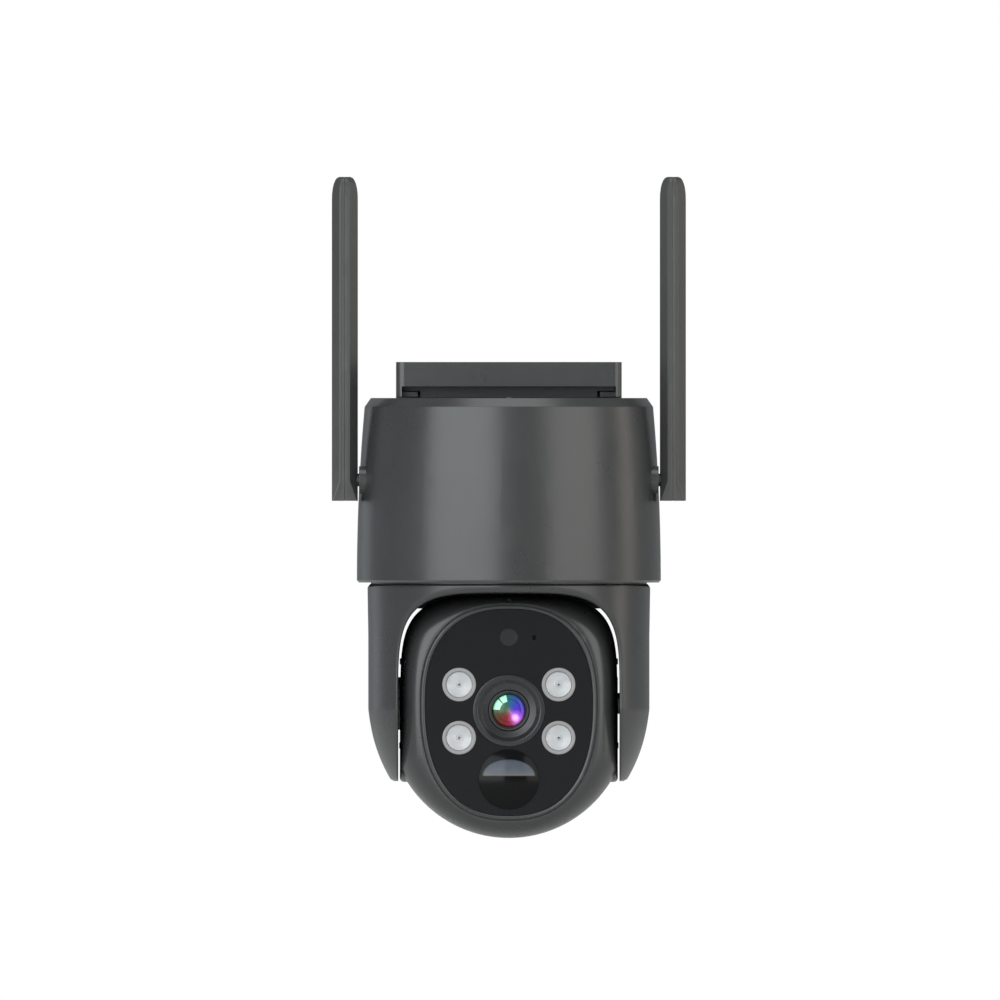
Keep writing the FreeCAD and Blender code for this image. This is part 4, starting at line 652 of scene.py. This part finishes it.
# %% Head outlines
face_low, face_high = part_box("face_panel")
FACE_HALF = (face_high.x - face_low.x) / 2 / MM
FACE_UP = (face_high.z - tilt_z) / MM
FACE_DOWN = (tilt_z - face_low.z) / MM
PANEL_FRONT = (pan_y - face_low.y) / MM
PANEL_BACK = (pan_y - face_high.y) / MM
HEAD_HALF, HEAD_HIGH, HEAD_FRONT, HEAD_STRAIGHT = 38.0, 37.8, PANEL_FRONT + 0.6, 13.0
CHIN_RADIUS, CHIN_DROP, FACE_POWER, RIDGE = 42.0, 5.1, 2.4, 1.6
SEAM_FRONT = (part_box("head_front_shell")[1].y - pan_y) / MM
SEAM_REAR = (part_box("head_rear_shell")[0].y - pan_y) / MM
TURNS = 240
head_place = Vector((0, pan_y, tilt_z))


def head_reach(angle, y, inset=0.0):
    """Distance from the centre line to the skin at an angle, y behind the tilt axis."""
    c, s = math.cos(angle), math.sin(angle)
    half, high = HEAD_HALF - inset, HEAD_HIGH - inset
    low, far = 0.0, 60.0
    for _ in range(26):
        middle = (low + far) / 2
        x, z = middle * c, middle * s
        inside = abs(x) < half
        if inside:
            reach = high * (1 - (abs(x) / half) ** 4) ** 0.25
            if z >= 0:
                inside = y * y + z * z <= reach * reach
            else:
                drop = CHIN_DROP + math.sqrt((CHIN_RADIUS - inset) ** 2 - x * x)
                inside = (z / drop) ** 2 + (y / max(reach, 1e-6)) ** 2 <= 1
        if inside:
            low = middle
        else:
            far = middle
    return low


def face_reach(angle, margin=0.0):
    """Distance from the face's centre to the panel's edge, widened by margin."""
    c, s = math.cos(angle), math.sin(angle)
    tall = (FACE_UP if s >= 0 else FACE_DOWN) + margin
    wide = FACE_HALF + margin
    return (abs(c / wide) ** FACE_POWER + abs(s / tall) ** FACE_POWER) ** (-1 / FACE_POWER)


angles = [2 * math.pi * i / TURNS for i in range(TURNS)]
side = [head_reach(a, 0.0) for a in angles]
inner_side = [head_reach(a, 0.0, 2.4) for a in angles]


def stacked(name, stations, closed, material):
    """A solid from outlines; a station is (y, list of distances). closed joins last to first."""
    points = [Vector((r * math.cos(a), y, r * math.sin(a)))
              for y, reach in stations for r, a in zip(reach, angles)]
    faces = []
    count = len(stations)
    for i in range(count if closed else count - 1):
        n = (i + 1) % count
        for k in range(TURNS):
            m = (k + 1) % TURNS
            faces.append((i * TURNS + k, i * TURNS + m, n * TURNS + m, n * TURNS + k))
    if not closed:
        faces.append(tuple(range(TURNS)))
        faces.append(tuple((count - 1) * TURNS + k for k in reversed(range(TURNS))))
    return piece_from(name, [p * MM + head_place for p in points], faces, material, 40)


# %% Head front shell
def front_stations():
    stations = [(SEAM_FRONT, [head_reach(a, SEAM_FRONT, 0.35) for a in angles])]
    for y in (SEAM_FRONT - 0.35, 8.0, 4.0, 0.0):
        stations.append((y, [head_reach(a, y) for a in angles]))
    depth = HEAD_FRONT - HEAD_STRAIGHT
    for k in range(0, 22):
        lean = math.radians(84) * k / 21
        y = -HEAD_STRAIGHT - depth * math.sin(lean)
        share = 1 - math.cos(lean)
        stations.append((y, [s * (1 - share) + face_reach(a, RIDGE) * share for a, s in zip(angles, side)]))
    front = -HEAD_FRONT
    for margin, y in ((RIDGE + 0.26, front + 0.10), (RIDGE + 0.14, front + 0.28),
                      (RIDGE + 0.02, front + 0.52), (RIDGE - 0.16, front + 0.52),
                      (RIDGE - 0.24, front + 0.22), (RIDGE - 0.42, front + 0.05),
                      (RIDGE - 0.65, front), (0.75, front), (0.42, front + 0.08), (0.2, front + 0.26),
                      (0.12, front + 0.55), (0.12, -PANEL_BACK + 0.05), (-2.6, -PANEL_BACK + 0.05),
                      (-2.6, -PANEL_BACK + 1.8)):
        stations.append((y, [face_reach(a, margin) for a in angles]))
    stations.append((-HEAD_STRAIGHT - 5,
                     [0.5 * (s + face_reach(a, -2.6)) for a, s in zip(angles, inner_side)]))
    for y in (-HEAD_STRAIGHT, 0.0):
        stations.append((y, inner_side))
    stations.append((SEAM_FRONT, [head_reach(a, SEAM_FRONT, 2.4) for a in angles]))
    return stations


def rod_cutter(radius, start, end, segments=64):
    """A closed rod between two points in mm about the head's centre, used to cut a bore."""
    a, b = Vector(start), Vector(end)
    turn = (b - a).to_track_quat("Z", "Y")
    points, faces = [], [tuple(range(segments)), tuple(reversed(range(segments, 2 * segments)))]
    for tip in (a, b):
        for k in range(segments):
            angle = 2 * math.pi * k / segments
            points.append((turn @ Vector((radius * math.cos(angle), radius * math.sin(angle), 0)) + tip) * MM
                          + head_place)
    for k in range(segments):
        n = (k + 1) % segments
        faces.append((k, n, segments + n, segments + k))
    return piece_from("cutter", points, faces, dark_moulding)


def box_cutter(low, high):
    points = [Vector((x, y, z)) * MM + head_place for x in (low[0], high[0]) for y in (low[1], high[1])
              for z in (low[2], high[2])]
    faces = [(0, 1, 3, 2), (4, 6, 7, 5), (0, 4, 5, 1), (2, 3, 7, 6), (0, 2, 6, 4), (1, 5, 7, 3)]
    return piece_from("cutter", points, faces, dark_moulding)


HUB_RADIUS, PIN_RADIUS, BORE_GAP = 9.25, 3.7, 0.06  # mm, the two pivots the head turns on
top_hole_z = FACE_UP + 3.0
head_front = stacked("head_front_moulded", front_stations(), True, satin_charcoal)
head_front = cut_away(head_front, rod_cutter(HUB_RADIUS + BORE_GAP, (-45, 0, 0), (-25, 0, 0)),
                      rod_cutter(PIN_RADIUS + BORE_GAP, (25, 0, 0), (45, 0, 0)),
                      rod_cutter(0.85, (0, -HEAD_FRONT - 6, top_hole_z),
                                 (0, -HEAD_FRONT + 9, top_hole_z), 32))
settle(head_front, "head", "satin_charcoal", "head_front_shell")
print("head front shell:", len(head_front.data.polygons), "faces")


# %% Head cheeks, with their small stops
def cheek_loop(shrink):
    loop = []
    for k in range(180):
        angle = 2 * math.pi * k / 180
        y = min(12.0, max(-HEAD_STRAIGHT, 27.5 * math.cos(angle)))
        z = min(10.0, 27.5 * math.sin(angle))
        if not loop or (Vector((y, z)) - loop[-1]).length > 0.02:
            loop.append(Vector((y, z)))
    middle = Vector((-0.5, -9.0))
    return [p + (middle - p).normalized() * shrink for p in loop]


def make_cheek(way, name):
    half = 38.15
    layers = [(34.0, 0.0), (half - 1.4, 0.0), (half - 0.9, 0.1),
              (half - 0.4, 0.42), (half - 0.1, 0.9), (half, 1.5)]
    loops = [cheek_loop(shrink) for _, shrink in layers]
    count = len(loops[0])
    points = [Vector((way * x, p.x, p.y)) for (x, _), loop in zip(layers, loops) for p in loop]
    faces = [tuple(range(count)), tuple((len(layers) - 1) * count + k for k in reversed(range(count)))]
    for i in range(len(layers) - 1):
        for k in range(count):
            n = (k + 1) % count
            faces.append((i * count + k, i * count + n, (i + 1) * count + n, (i + 1) * count + k))
    cheek = piece_from(name, [p * MM + head_place for p in points], faces, satin_charcoal)
    bore = (HUB_RADIUS if way < 0 else PIN_RADIUS) + BORE_GAP
    cheek = cut_away(cheek, rod_cutter(bore, (way * 30, 0, 0), (way * 45, 0, 0)))
    return settle(cheek, "head", "satin_charcoal")


for way, side in ((-1, "left"), (1, "right")):
    make_cheek(way, "head_cheek_" + side)
for way, title in ((-1, "left"), (1, "right")):
    for z, level in ((-14.7, "low"), (14.7, "high")):
        reach = 38.4 if z < 0 else 38.2
        stop = turned_piece("head_stop_" + title + "_" + level,
                            [(0, 36.5, 0), (1.1, 36.5, 0), (1.1, reach, 0.25), (0, reach, 0)],
                            head_place + Vector((0, 0, z * MM)), satin_charcoal, "X", 32)
        if way < 0:
            stop.data.transform(Matrix.Scale(-1, 4, (1, 0, 0)))
            stop.data.flip_normals()
        settle(stop, "head", "satin_charcoal")
print("cheeks and stops made")


# %% Head rear shell
def rear_stations():
    stations = []
    for k in range(0, 19):
        lean = math.radians(19.8 + (89.2 - 19.8) * k / 18)
        y = max(SEAM_REAR, HEAD_HIGH * math.sin(lean))
        stations.append((y, [max(0.4, head_reach(a, y)) for a in angles]))
    start = [(SEAM_REAR + 1.5, [head_reach(a, SEAM_REAR, 2.4) for a in angles]),
             (SEAM_REAR, [head_reach(a, SEAM_REAR, 2.4) for a in angles]),
             (SEAM_REAR, [head_reach(a, SEAM_REAR, 0.35) for a in angles])]
    return start + stations[1:]


def solid_boxes(node):
    """The (low, high) corners of each separate solid in a CAD node, in metres."""
    work = bmesh.new()
    work.from_mesh(nodes[node].data)
    bmesh.ops.remove_doubles(work, verts=work.verts, dist=2e-6)
    left, boxes = set(work.verts), []
    while left:
        stack, found = [left.pop()], []
        while stack:
            vert = stack.pop()
            found.append(vert.co.copy())
            for edge in vert.link_edges:
                other = edge.other_vert(vert)
                if other in left:
                    left.discard(other)
                    stack.append(other)
        boxes.append((Vector(map(min, *found)), Vector(map(max, *found))))
    work.free()
    return sorted(boxes, key=lambda pair: (round(pair[0].x, 4), round(pair[0].z, 4)))


head_rear = stacked("head_rear_moulded", rear_stations(), False, satin_charcoal)
screw_boxes = solid_boxes("head_screws")
wells = []
for low, high in screw_boxes:
    middle = ((low + high) / 2 - head_place) / MM
    well_floor = (high.y - pan_y) / MM - 1.6
    wells.append(rod_cutter(2.3, (middle.x, well_floor, middle.z), (middle.x, 50, middle.z), 40))
cover_low, cover_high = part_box("service_cover")
cover_low, cover_high = (cover_low - head_place) / MM, (cover_high - head_place) / MM
wells.append(box_cutter((cover_low.x - 0.1, cover_low.y - 0.2, cover_low.z - 0.1),
                        (cover_high.x + 0.1, 50, cover_high.z + 0.1)))
head_rear = cut_away(head_rear, *wells)
settle(head_rear, "head", "satin_charcoal", "head_rear_shell")
print("head rear shell:", len(head_rear.data.polygons), "faces,", len(screw_boxes), "screw wells")

# %% [markdown]
# Things that repeat are placed by one geometry node tree: it puts a unit on every point it is given,
# turns each by a seeded amount and ends in one real mesh with one finish.

# %% Repeater
def make_repeater():
    tree = bpy.data.node_groups.new("unit_repeater", "GeometryNodeTree")
    tree.is_modifier = True
    for title, kind, default in (("Places", "NodeSocketGeometry", None), ("Unit", "NodeSocketObject", None),
                                 ("Finish", "NodeSocketMaterial", None), ("Turn range", FLOAT, 0.0),
                                 ("Seed", "NodeSocketInt", 7)):
        socket = tree.interface.new_socket(title, in_out="INPUT", socket_type=kind)
        if default is not None:
            socket.default_value = default
    tree.interface.new_socket("Pieces", in_out="OUTPUT", socket_type="NodeSocketGeometry")
    given, made = tree.nodes.new("NodeGroupInput"), tree.nodes.new("NodeGroupOutput")
    unit = tree.nodes.new("GeometryNodeObjectInfo")
    wire(tree, given.outputs["Unit"], unit.inputs["Object"])
    chance = tree.nodes.new("FunctionNodeRandomValue")
    chance.data_type = "FLOAT"
    wire(tree, given.outputs["Turn range"], chance.inputs[3])
    wire(tree, given.outputs["Seed"], chance.inputs["Seed"])
    turn = tree.nodes.new("ShaderNodeCombineXYZ")
    wire(tree, chance.outputs[1], turn.inputs["Y"])
    place = tree.nodes.new("GeometryNodeInstanceOnPoints")
    wire(tree, given.outputs["Places"], place.inputs["Points"])
    wire(tree, unit.outputs["Geometry"], place.inputs["Instance"])
    wire(tree, turn.outputs[0], place.inputs["Rotation"])
    real = tree.nodes.new("GeometryNodeRealizeInstances")
    wire(tree, place.outputs[0], real.inputs[0])
    coat = tree.nodes.new("GeometryNodeSetMaterial")
    wire(tree, real.outputs[0], coat.inputs["Geometry"])
    wire(tree, given.outputs["Finish"], coat.inputs["Material"])
    wire(tree, coat.outputs[0], made.inputs["Pieces"])
    return tree


unit_repeater = make_repeater()
socket_of = {item.name: item.identifier
             for item in unit_repeater.interface.items_tree if item.in_out == "INPUT"}


def repeated(name, unit, places, material, turn_range=0.0, seed=7):
    """One piece made of a unit on every place. The unit is made about the origin and then removed."""
    mesh = bpy.data.meshes.new(name + "_places")
    mesh.from_pydata([tuple(p) for p in places], [], [])
    holder = bpy.data.objects.new(name + "_places", mesh)
    scene.collection.objects.link(holder)
    step = holder.modifiers.new("repeat", "NODES")
    step.node_group = unit_repeater
    for title, value in (("Unit", unit), ("Finish", material), ("Turn range", turn_range), ("Seed", seed)):
        step[socket_of[title]] = value
    holder.update_tag()
    graph = bpy.context.evaluated_depsgraph_get()
    made = bpy.data.meshes.new_from_object(holder.evaluated_get(graph))
    made.name = name
    bpy.data.objects.remove(holder)
    bpy.data.objects.remove(unit)
    piece = bpy.data.objects.new(name, made)
    scene.collection.objects.link(piece)
    return piece


def turned_unit(name, outline, material, segments=72):
    points, faces = turned_mesh(outline, "-Y", segments)
    return piece_from(name, [Vector(p) * MM for p in points], faces, material)


# %% Lights: four rings and four dished optics
led_places = [Vector(((low.x + high.x) / 2, pan_y - PANEL_FRONT * MM, (low.z + high.z) / 2))
              for low, high in solid_boxes("led_rings")]
ring_unit = turned_unit("led_ring_unit", [(5.88, -2.4, 0), (5.88, 0.34, 0.28), (4.75, 0.34, 0.3),
                                          (4.45, -0.5, 0.1), (4.45, -2.4, 0)], led_ring_grey)
settle(repeated("led_rings_moulded", ring_unit, led_places, led_ring_grey),
       "head", "led_ring_grey", "led_rings")


def optic_outline():
    """A shallow dish with fine ripples and a small peak in the middle."""
    outline = [(0, -0.75, 0), (0.28, -0.78, 0), (0.45, -1.05, 0), (0.62, -1.2, 0)]
    for k in range(44):
        r = 0.7 + 3.7 * k / 43
        ripple = 0.13 * math.cos((r - 0.7) * 2 * math.pi / 0.62) * max(0.06, 1 - k / 17)
        outline.append((r, -1.25 + 0.9 * (r / 4.4) ** 2 + ripple, 0))
    return outline + [(4.42, -2.3, 0), (0, -2.3, 0)]


optic_unit = turned_unit("led_optic_unit", optic_outline(), led_clear)
settle(repeated("led_optics_moulded", optic_unit, led_places, led_clear), "head", "led_clear", "led_optics")
chip_unit = turned_unit("led_chip_unit", [(0, -0.9, 0), (0.34, -0.9, 0), (0.34, -0.72, 0.05), (0, -0.72, 0)],
                        led_phosphor, 32)
settle(repeated("led_chips", chip_unit, led_places, dark_moulding), "head", "led_phosphor")
print("lights at", [tuple(round(v, 4) for v in p) for p in led_places])

# %% Screws of the head
screw_places = [Vector(((low.x + high.x) / 2, high.y, (low.z + high.z) / 2)) for low, high in screw_boxes]
head_unit = turned_piece("screw_unit", [(0, -10.0, 0), (0.85, -10.0, 0), (0.85, -1.6, 0), (2.05, -1.6, 0),
                                        (2.05, -0.5, 0.2), (1.3, 0.0, 0.3), (0, 0.0, 0)],
                         (0, 0, 0), zinc_screw, "Z", 40)
head_unit.data.transform(Matrix.Rotation(-math.pi / 2, 4, "X"))
cross = []
for wide, tall in ((0.3, 1.15), (1.15, 0.3)):
    bit = box_cutter((-wide, 8.0, -tall), (wide, 9.0, tall))
    bit.data.transform(Matrix.Translation(-head_place - Vector((0, 8.7 * MM, 0))))
    cross.append(bit)
head_unit = cut_away(head_unit, *cross)
settle(repeated("head_screws_turned", head_unit, screw_places, zinc_screw, math.pi / 2, 11),
       "head", "zinc_screw", "head_screws")
print("screws at", len(screw_places), "places")

# %% [markdown]
# The lens: a dark bezel whose inner cone catches the light from above, a barrel rim and a domed
# front glass with painted reflections: bands of coating colour, two pale green window panes and a pink
# highlight spot. The colours are laid out round the glass's centre.

# %% Lens bezel, barrel rim and glass
bezel_low, bezel_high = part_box("lens_bezel")
lens_z = (bezel_low.z + bezel_high.z) / 2
lens_place = Vector((0, pan_y - PANEL_FRONT * MM, lens_z))
bezel = turned_piece("lens_bezel_moulded", [(12.58, -2.7, 0), (12.58, 0.48, 0.35), (11.0, 0.48, 0.25),
                                            (9.5, -0.95, 0.1), (7.3, -1.2, 0.1), (7.1, -2.7, 0)],
                     lens_place, bezel_grey, "-Y", 200)
settle(bezel, "head", "bezel_grey", "lens_bezel")
rim = turned_piece("lens_barrel_rim", [(7.0, -2.6, 0), (7.0, -1.05, 0.2), (6.45, -1.05, 0.15),
                                       (5.95, -1.7, 0.1), (5.95, -2.6, 0)],
                   lens_place, dark_moulding, "-Y", 160)
settle(rim, "head", "bezel_grey")
dome = [(0, -3.4, 0), (5.8, -3.4, 0)]
for k in range(0, 19):
    t = k / 18
    dome.append((5.8 * math.cos(t * math.pi / 2), -2.85 + 1.4 * math.sin(t * math.pi / 2), 0))


def coated_glass():
    """Dark glass with painted reflections: green window panes, coating colours of blue, violet, magenta and
    deep red in turn, and a pink highlight spot.
    """
    material = finish("coated_glass", srgb(16, 18, 20), 0.12, drift=0.02, rough_drift=0.01,
                      depth=0.0, rub=0.0, Specular_IOR_Level=0.3)
    tree = material.node_tree
    shader = tree.nodes["Principled BSDF"]
    place = tree.nodes.new("ShaderNodeTexCoord")
    middle = tree.nodes.new("ShaderNodeMapping")
    middle.vector_type = "POINT"
    middle.inputs["Location"].default_value = (0, 0, -lens_z / (5.8 * MM))
    middle.inputs["Scale"].default_value = (1 / (5.8 * MM),) * 3
    wire(tree, place.outputs["Object"], middle.inputs["Vector"])
    split = tree.nodes.new("ShaderNodeSeparateXYZ")
    wire(tree, middle.outputs[0], split.inputs[0])

    def maths(kind, first, second=None):
        node = tree.nodes.new("ShaderNodeMath")
        node.operation = kind
        for socket, value in zip(node.inputs, (first, second)):
            if value is None:
                continue
            if isinstance(value, (int, float)):
                socket.default_value = value
            else:
                wire(tree, value, socket)
        return node.outputs[0]

    def ramp(value, stops, kind="LINEAR"):
        node = tree.nodes.new("ShaderNodeValToRGB")
        node.color_ramp.interpolation = kind
        stops_made = node.color_ramp.elements
        while len(stops_made) < len(stops):
            stops_made.new(0.5)
        for made, (position, colour) in zip(stops_made, stops):
            made.position = position
            made.color = colour
        wire(tree, value, node.inputs[0])
        return node.outputs[0]

    def blend_in(mask, under, over):
        node = tree.nodes.new("ShaderNodeMix")
        node.data_type = "RGBA"
        wire(tree, mask, node.inputs["Factor"])
        for key, value in (("A", under), ("B", over)):
            if isinstance(value, tuple):
                node.inputs[key].default_value = value
            else:
                wire(tree, value, node.inputs[key])
        return node.outputs["Result"]

    black, white = (0, 0, 0, 1), (1, 1, 1, 1)
    x, z = split.outputs["X"], split.outputs["Z"]
    turn = maths("ADD", maths("DIVIDE", maths("ARCTAN2", z, x), 2 * math.pi), 0.5)
    far = maths("SQRT", maths("ADD", maths("MULTIPLY", x, x), maths("MULTIPLY", z, z)))
    # The coating colours round the centre are painted reflections.
    painted_coating_reflections = ramp(turn, [(0.0, srgb(58, 84, 52)), (0.10, srgb(84, 50, 26)), (0.20, srgb(118, 22, 26)),
                       (0.28, srgb(150, 24, 70)), (0.36, srgb(214, 90, 220)), (0.44, srgb(140, 60, 220)),
                       (0.52, srgb(76, 50, 190)), (0.62, srgb(52, 70, 165)), (0.72, srgb(44, 92, 120)),
                       (0.80, srgb(44, 104, 84)), (1.0, srgb(58, 84, 52))])
    heart = ramp(far, [(0.0, srgb(120, 130, 110)), (0.25, srgb(80, 95, 80)), (0.62, black), (1.0, black)])
    heart_mask = ramp(far, [(0.05, (0.75, 0.75, 0.75, 1)), (0.42, black)])
    colour = blend_in(heart_mask, painted_coating_reflections, heart)
    ring_dark = ramp(far, [(0.62, white), (0.70, (0.55, 0.55, 0.55, 1)), (0.76, white),
                           (0.93, white), (1.0, black)])
    colour = blend_in(ring_dark, black, colour)
    # Two pale green panes in a ring: a painted reflection of windows.
    painted_pane_ring = ramp(far, [(0.0, black), (0.52, black), (0.56, white), (0.93, white), (0.96, black)])
    painted_window_panes = ramp(turn, [(0.0, black), (0.775, white), (0.855, black), (0.868, white), (0.985, black)],
                 "CONSTANT")
    colour = blend_in(maths("MULTIPLY", painted_pane_ring, painted_window_panes), colour, srgb(176, 240, 206))
    # A pink-white spot low on the right: a painted highlight.
    highlight_x = maths("SUBTRACT", x, 0.40)
    highlight_z = maths("ADD", z, 0.44)
    highlight_distance = maths("SQRT", maths("ADD", maths("MULTIPLY", highlight_x, highlight_x), maths("MULTIPLY", highlight_z, highlight_z)))
    painted_highlight = ramp(highlight_distance, [(0.0, white), (0.10, (0.8, 0.8, 0.8, 1)), (0.28, (0.1, 0.1, 0.1, 1)), (0.5, black)])
    colour = blend_in(painted_highlight, colour, srgb(255, 200, 255))
    for link in list(shader.inputs["Base Color"].links):
        tree.links.remove(link)
    wire(tree, colour, shader.inputs["Base Color"])
    return material


glass_with_painted_reflections = coated_glass()
glass = turned_piece("lens_glass_domed", dome, lens_place, glass_with_painted_reflections, "-Y", 160)
settle(glass, "head", "lens_glass", "lens_front_glass")
print("lens at z", round(lens_z, 4))

# %% Motion sensor dome
pir_low, pir_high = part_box("pir_lens")
pir_z = (pir_low.z + pir_high.z) / 2
PIR_RADIUS = (pir_high.x - pir_low.x) / 2 / MM
ball = (PIR_RADIUS ** 2 + 2.4 ** 2) / 4.8
dome = [(0, -1.9, 0), (PIR_RADIUS - 0.05, -1.9, 0)]
for k in range(0, 31):
    r = (PIR_RADIUS - 0.05) * (1 - k / 30)
    dome.append((r, 0.58 + 2.4 - ball + math.sqrt(ball ** 2 - r * r), 0))


def smoked_dome():
    """Black infrared plastic; its upper half holds a painted blue-grey sky reflection, mottled like clouds,
    down to a painted horizon line.
    """
    material = finish("smoked_dome", srgb(14, 14, 15), 0.16, drift=0.05, rough_drift=0.01, depth=0.0, rub=0.0,
                      Specular_IOR_Level=0.12)
    tree = material.node_tree
    shader = tree.nodes["Principled BSDF"]
    place = tree.nodes.new("ShaderNodeTexCoord")
    middle = tree.nodes.new("ShaderNodeMapping")
    middle.vector_type = "POINT"
    middle.inputs["Location"].default_value = (0, 0, -(pir_z + 1.2 * MM) / (5.9 * MM))
    middle.inputs["Scale"].default_value = (1 / (9.4 * MM), 1, 1 / (5.9 * MM))
    wire(tree, place.outputs["Object"], middle.inputs["Vector"])
    flat = tree.nodes.new("ShaderNodeVectorMath")
    flat.operation = "MULTIPLY"
    flat.inputs[1].default_value = (1, 0, 1)
    wire(tree, middle.outputs[0], flat.inputs[0])
    far = tree.nodes.new("ShaderNodeVectorMath")
    far.operation = "LENGTH"
    wire(tree, flat.outputs[0], far.inputs[0])
    split = tree.nodes.new("ShaderNodeSeparateXYZ")
    wire(tree, middle.outputs[0], split.inputs[0])
    # The dome's rim and a level line bound the painted sky reflection, which fills the upper half.
    inside = tree.nodes.new("ShaderNodeMapRange")
    inside.inputs["From Min"].default_value = 1.0
    inside.inputs["From Max"].default_value = 0.93
    wire(tree, far.outputs["Value"], inside.inputs["Value"])
    level = tree.nodes.new("ShaderNodeMapRange")
    level.inputs["From Min"].default_value = -0.02
    level.inputs["From Max"].default_value = 0.05
    wire(tree, split.outputs["Z"], level.inputs["Value"])
    both = tree.nodes.new("ShaderNodeMath")
    both.operation = "MULTIPLY"
    wire(tree, inside.outputs[0], both.inputs[0])
    wire(tree, level.outputs[0], both.inputs[1])
    painted_cloud_noise = tree.nodes.new("ShaderNodeTexNoise")
    painted_cloud_noise.inputs["Scale"].default_value = 3.0
    painted_cloud_noise.inputs["Detail"].default_value = 5.0
    wire(tree, middle.outputs[0], painted_cloud_noise.inputs["Vector"])
    # Colours of the painted sky reflection: warm at the horizon line, blue-grey higher up.
    tones = tree.nodes.new("ShaderNodeValToRGB")
    tones.color_ramp.elements[0].color = srgb(112, 108, 102)
    tones.color_ramp.elements[1].color = srgb(74, 80, 90)
    middle_stop = tones.color_ramp.elements.new(0.25)
    middle_stop.color = srgb(92, 98, 106)
    wire(tree, split.outputs["Z"], tones.inputs[0])
    mottled_sky_reflection = tree.nodes.new("ShaderNodeMix")
    mottled_sky_reflection.data_type = "RGBA"
    mottled_sky_reflection.blend_type = "MULTIPLY"
    mottled_sky_reflection.inputs["Factor"].default_value = 0.35
    wire(tree, tones.outputs[0], mottled_sky_reflection.inputs["A"])
    wire(tree, painted_cloud_noise.outputs[0], mottled_sky_reflection.inputs["B"])
    # The painted sky reflection is laid over the near-black plastic.
    painted_sky_reflection = tree.nodes.new("ShaderNodeMix")
    painted_sky_reflection.data_type = "RGBA"
    painted_sky_reflection.inputs["A"].default_value = srgb(13, 13, 14)
    wire(tree, both.outputs[0], painted_sky_reflection.inputs["Factor"])
    wire(tree, mottled_sky_reflection.outputs["Result"], painted_sky_reflection.inputs["B"])
    for link in list(shader.inputs["Base Color"].links):
        tree.links.remove(link)
    wire(tree, painted_sky_reflection.outputs["Result"], shader.inputs["Base Color"])
    return material


dome_painted_sky = smoked_dome()
pir = turned_piece("motion_dome", dome, Vector((0, pan_y - PANEL_FRONT * MM, pir_z)), dome_painted_sky, "-Y", 160)
settle(pir, "head", "smoked_window", "pir_lens")
print("motion dome at z", round(pir_z, 4))

# %% [markdown]
# Last, the frame's sizes are printed.

# %% Sizes and finish
print("cad", [round(v, 4) for corner in cad_box for v in corner])
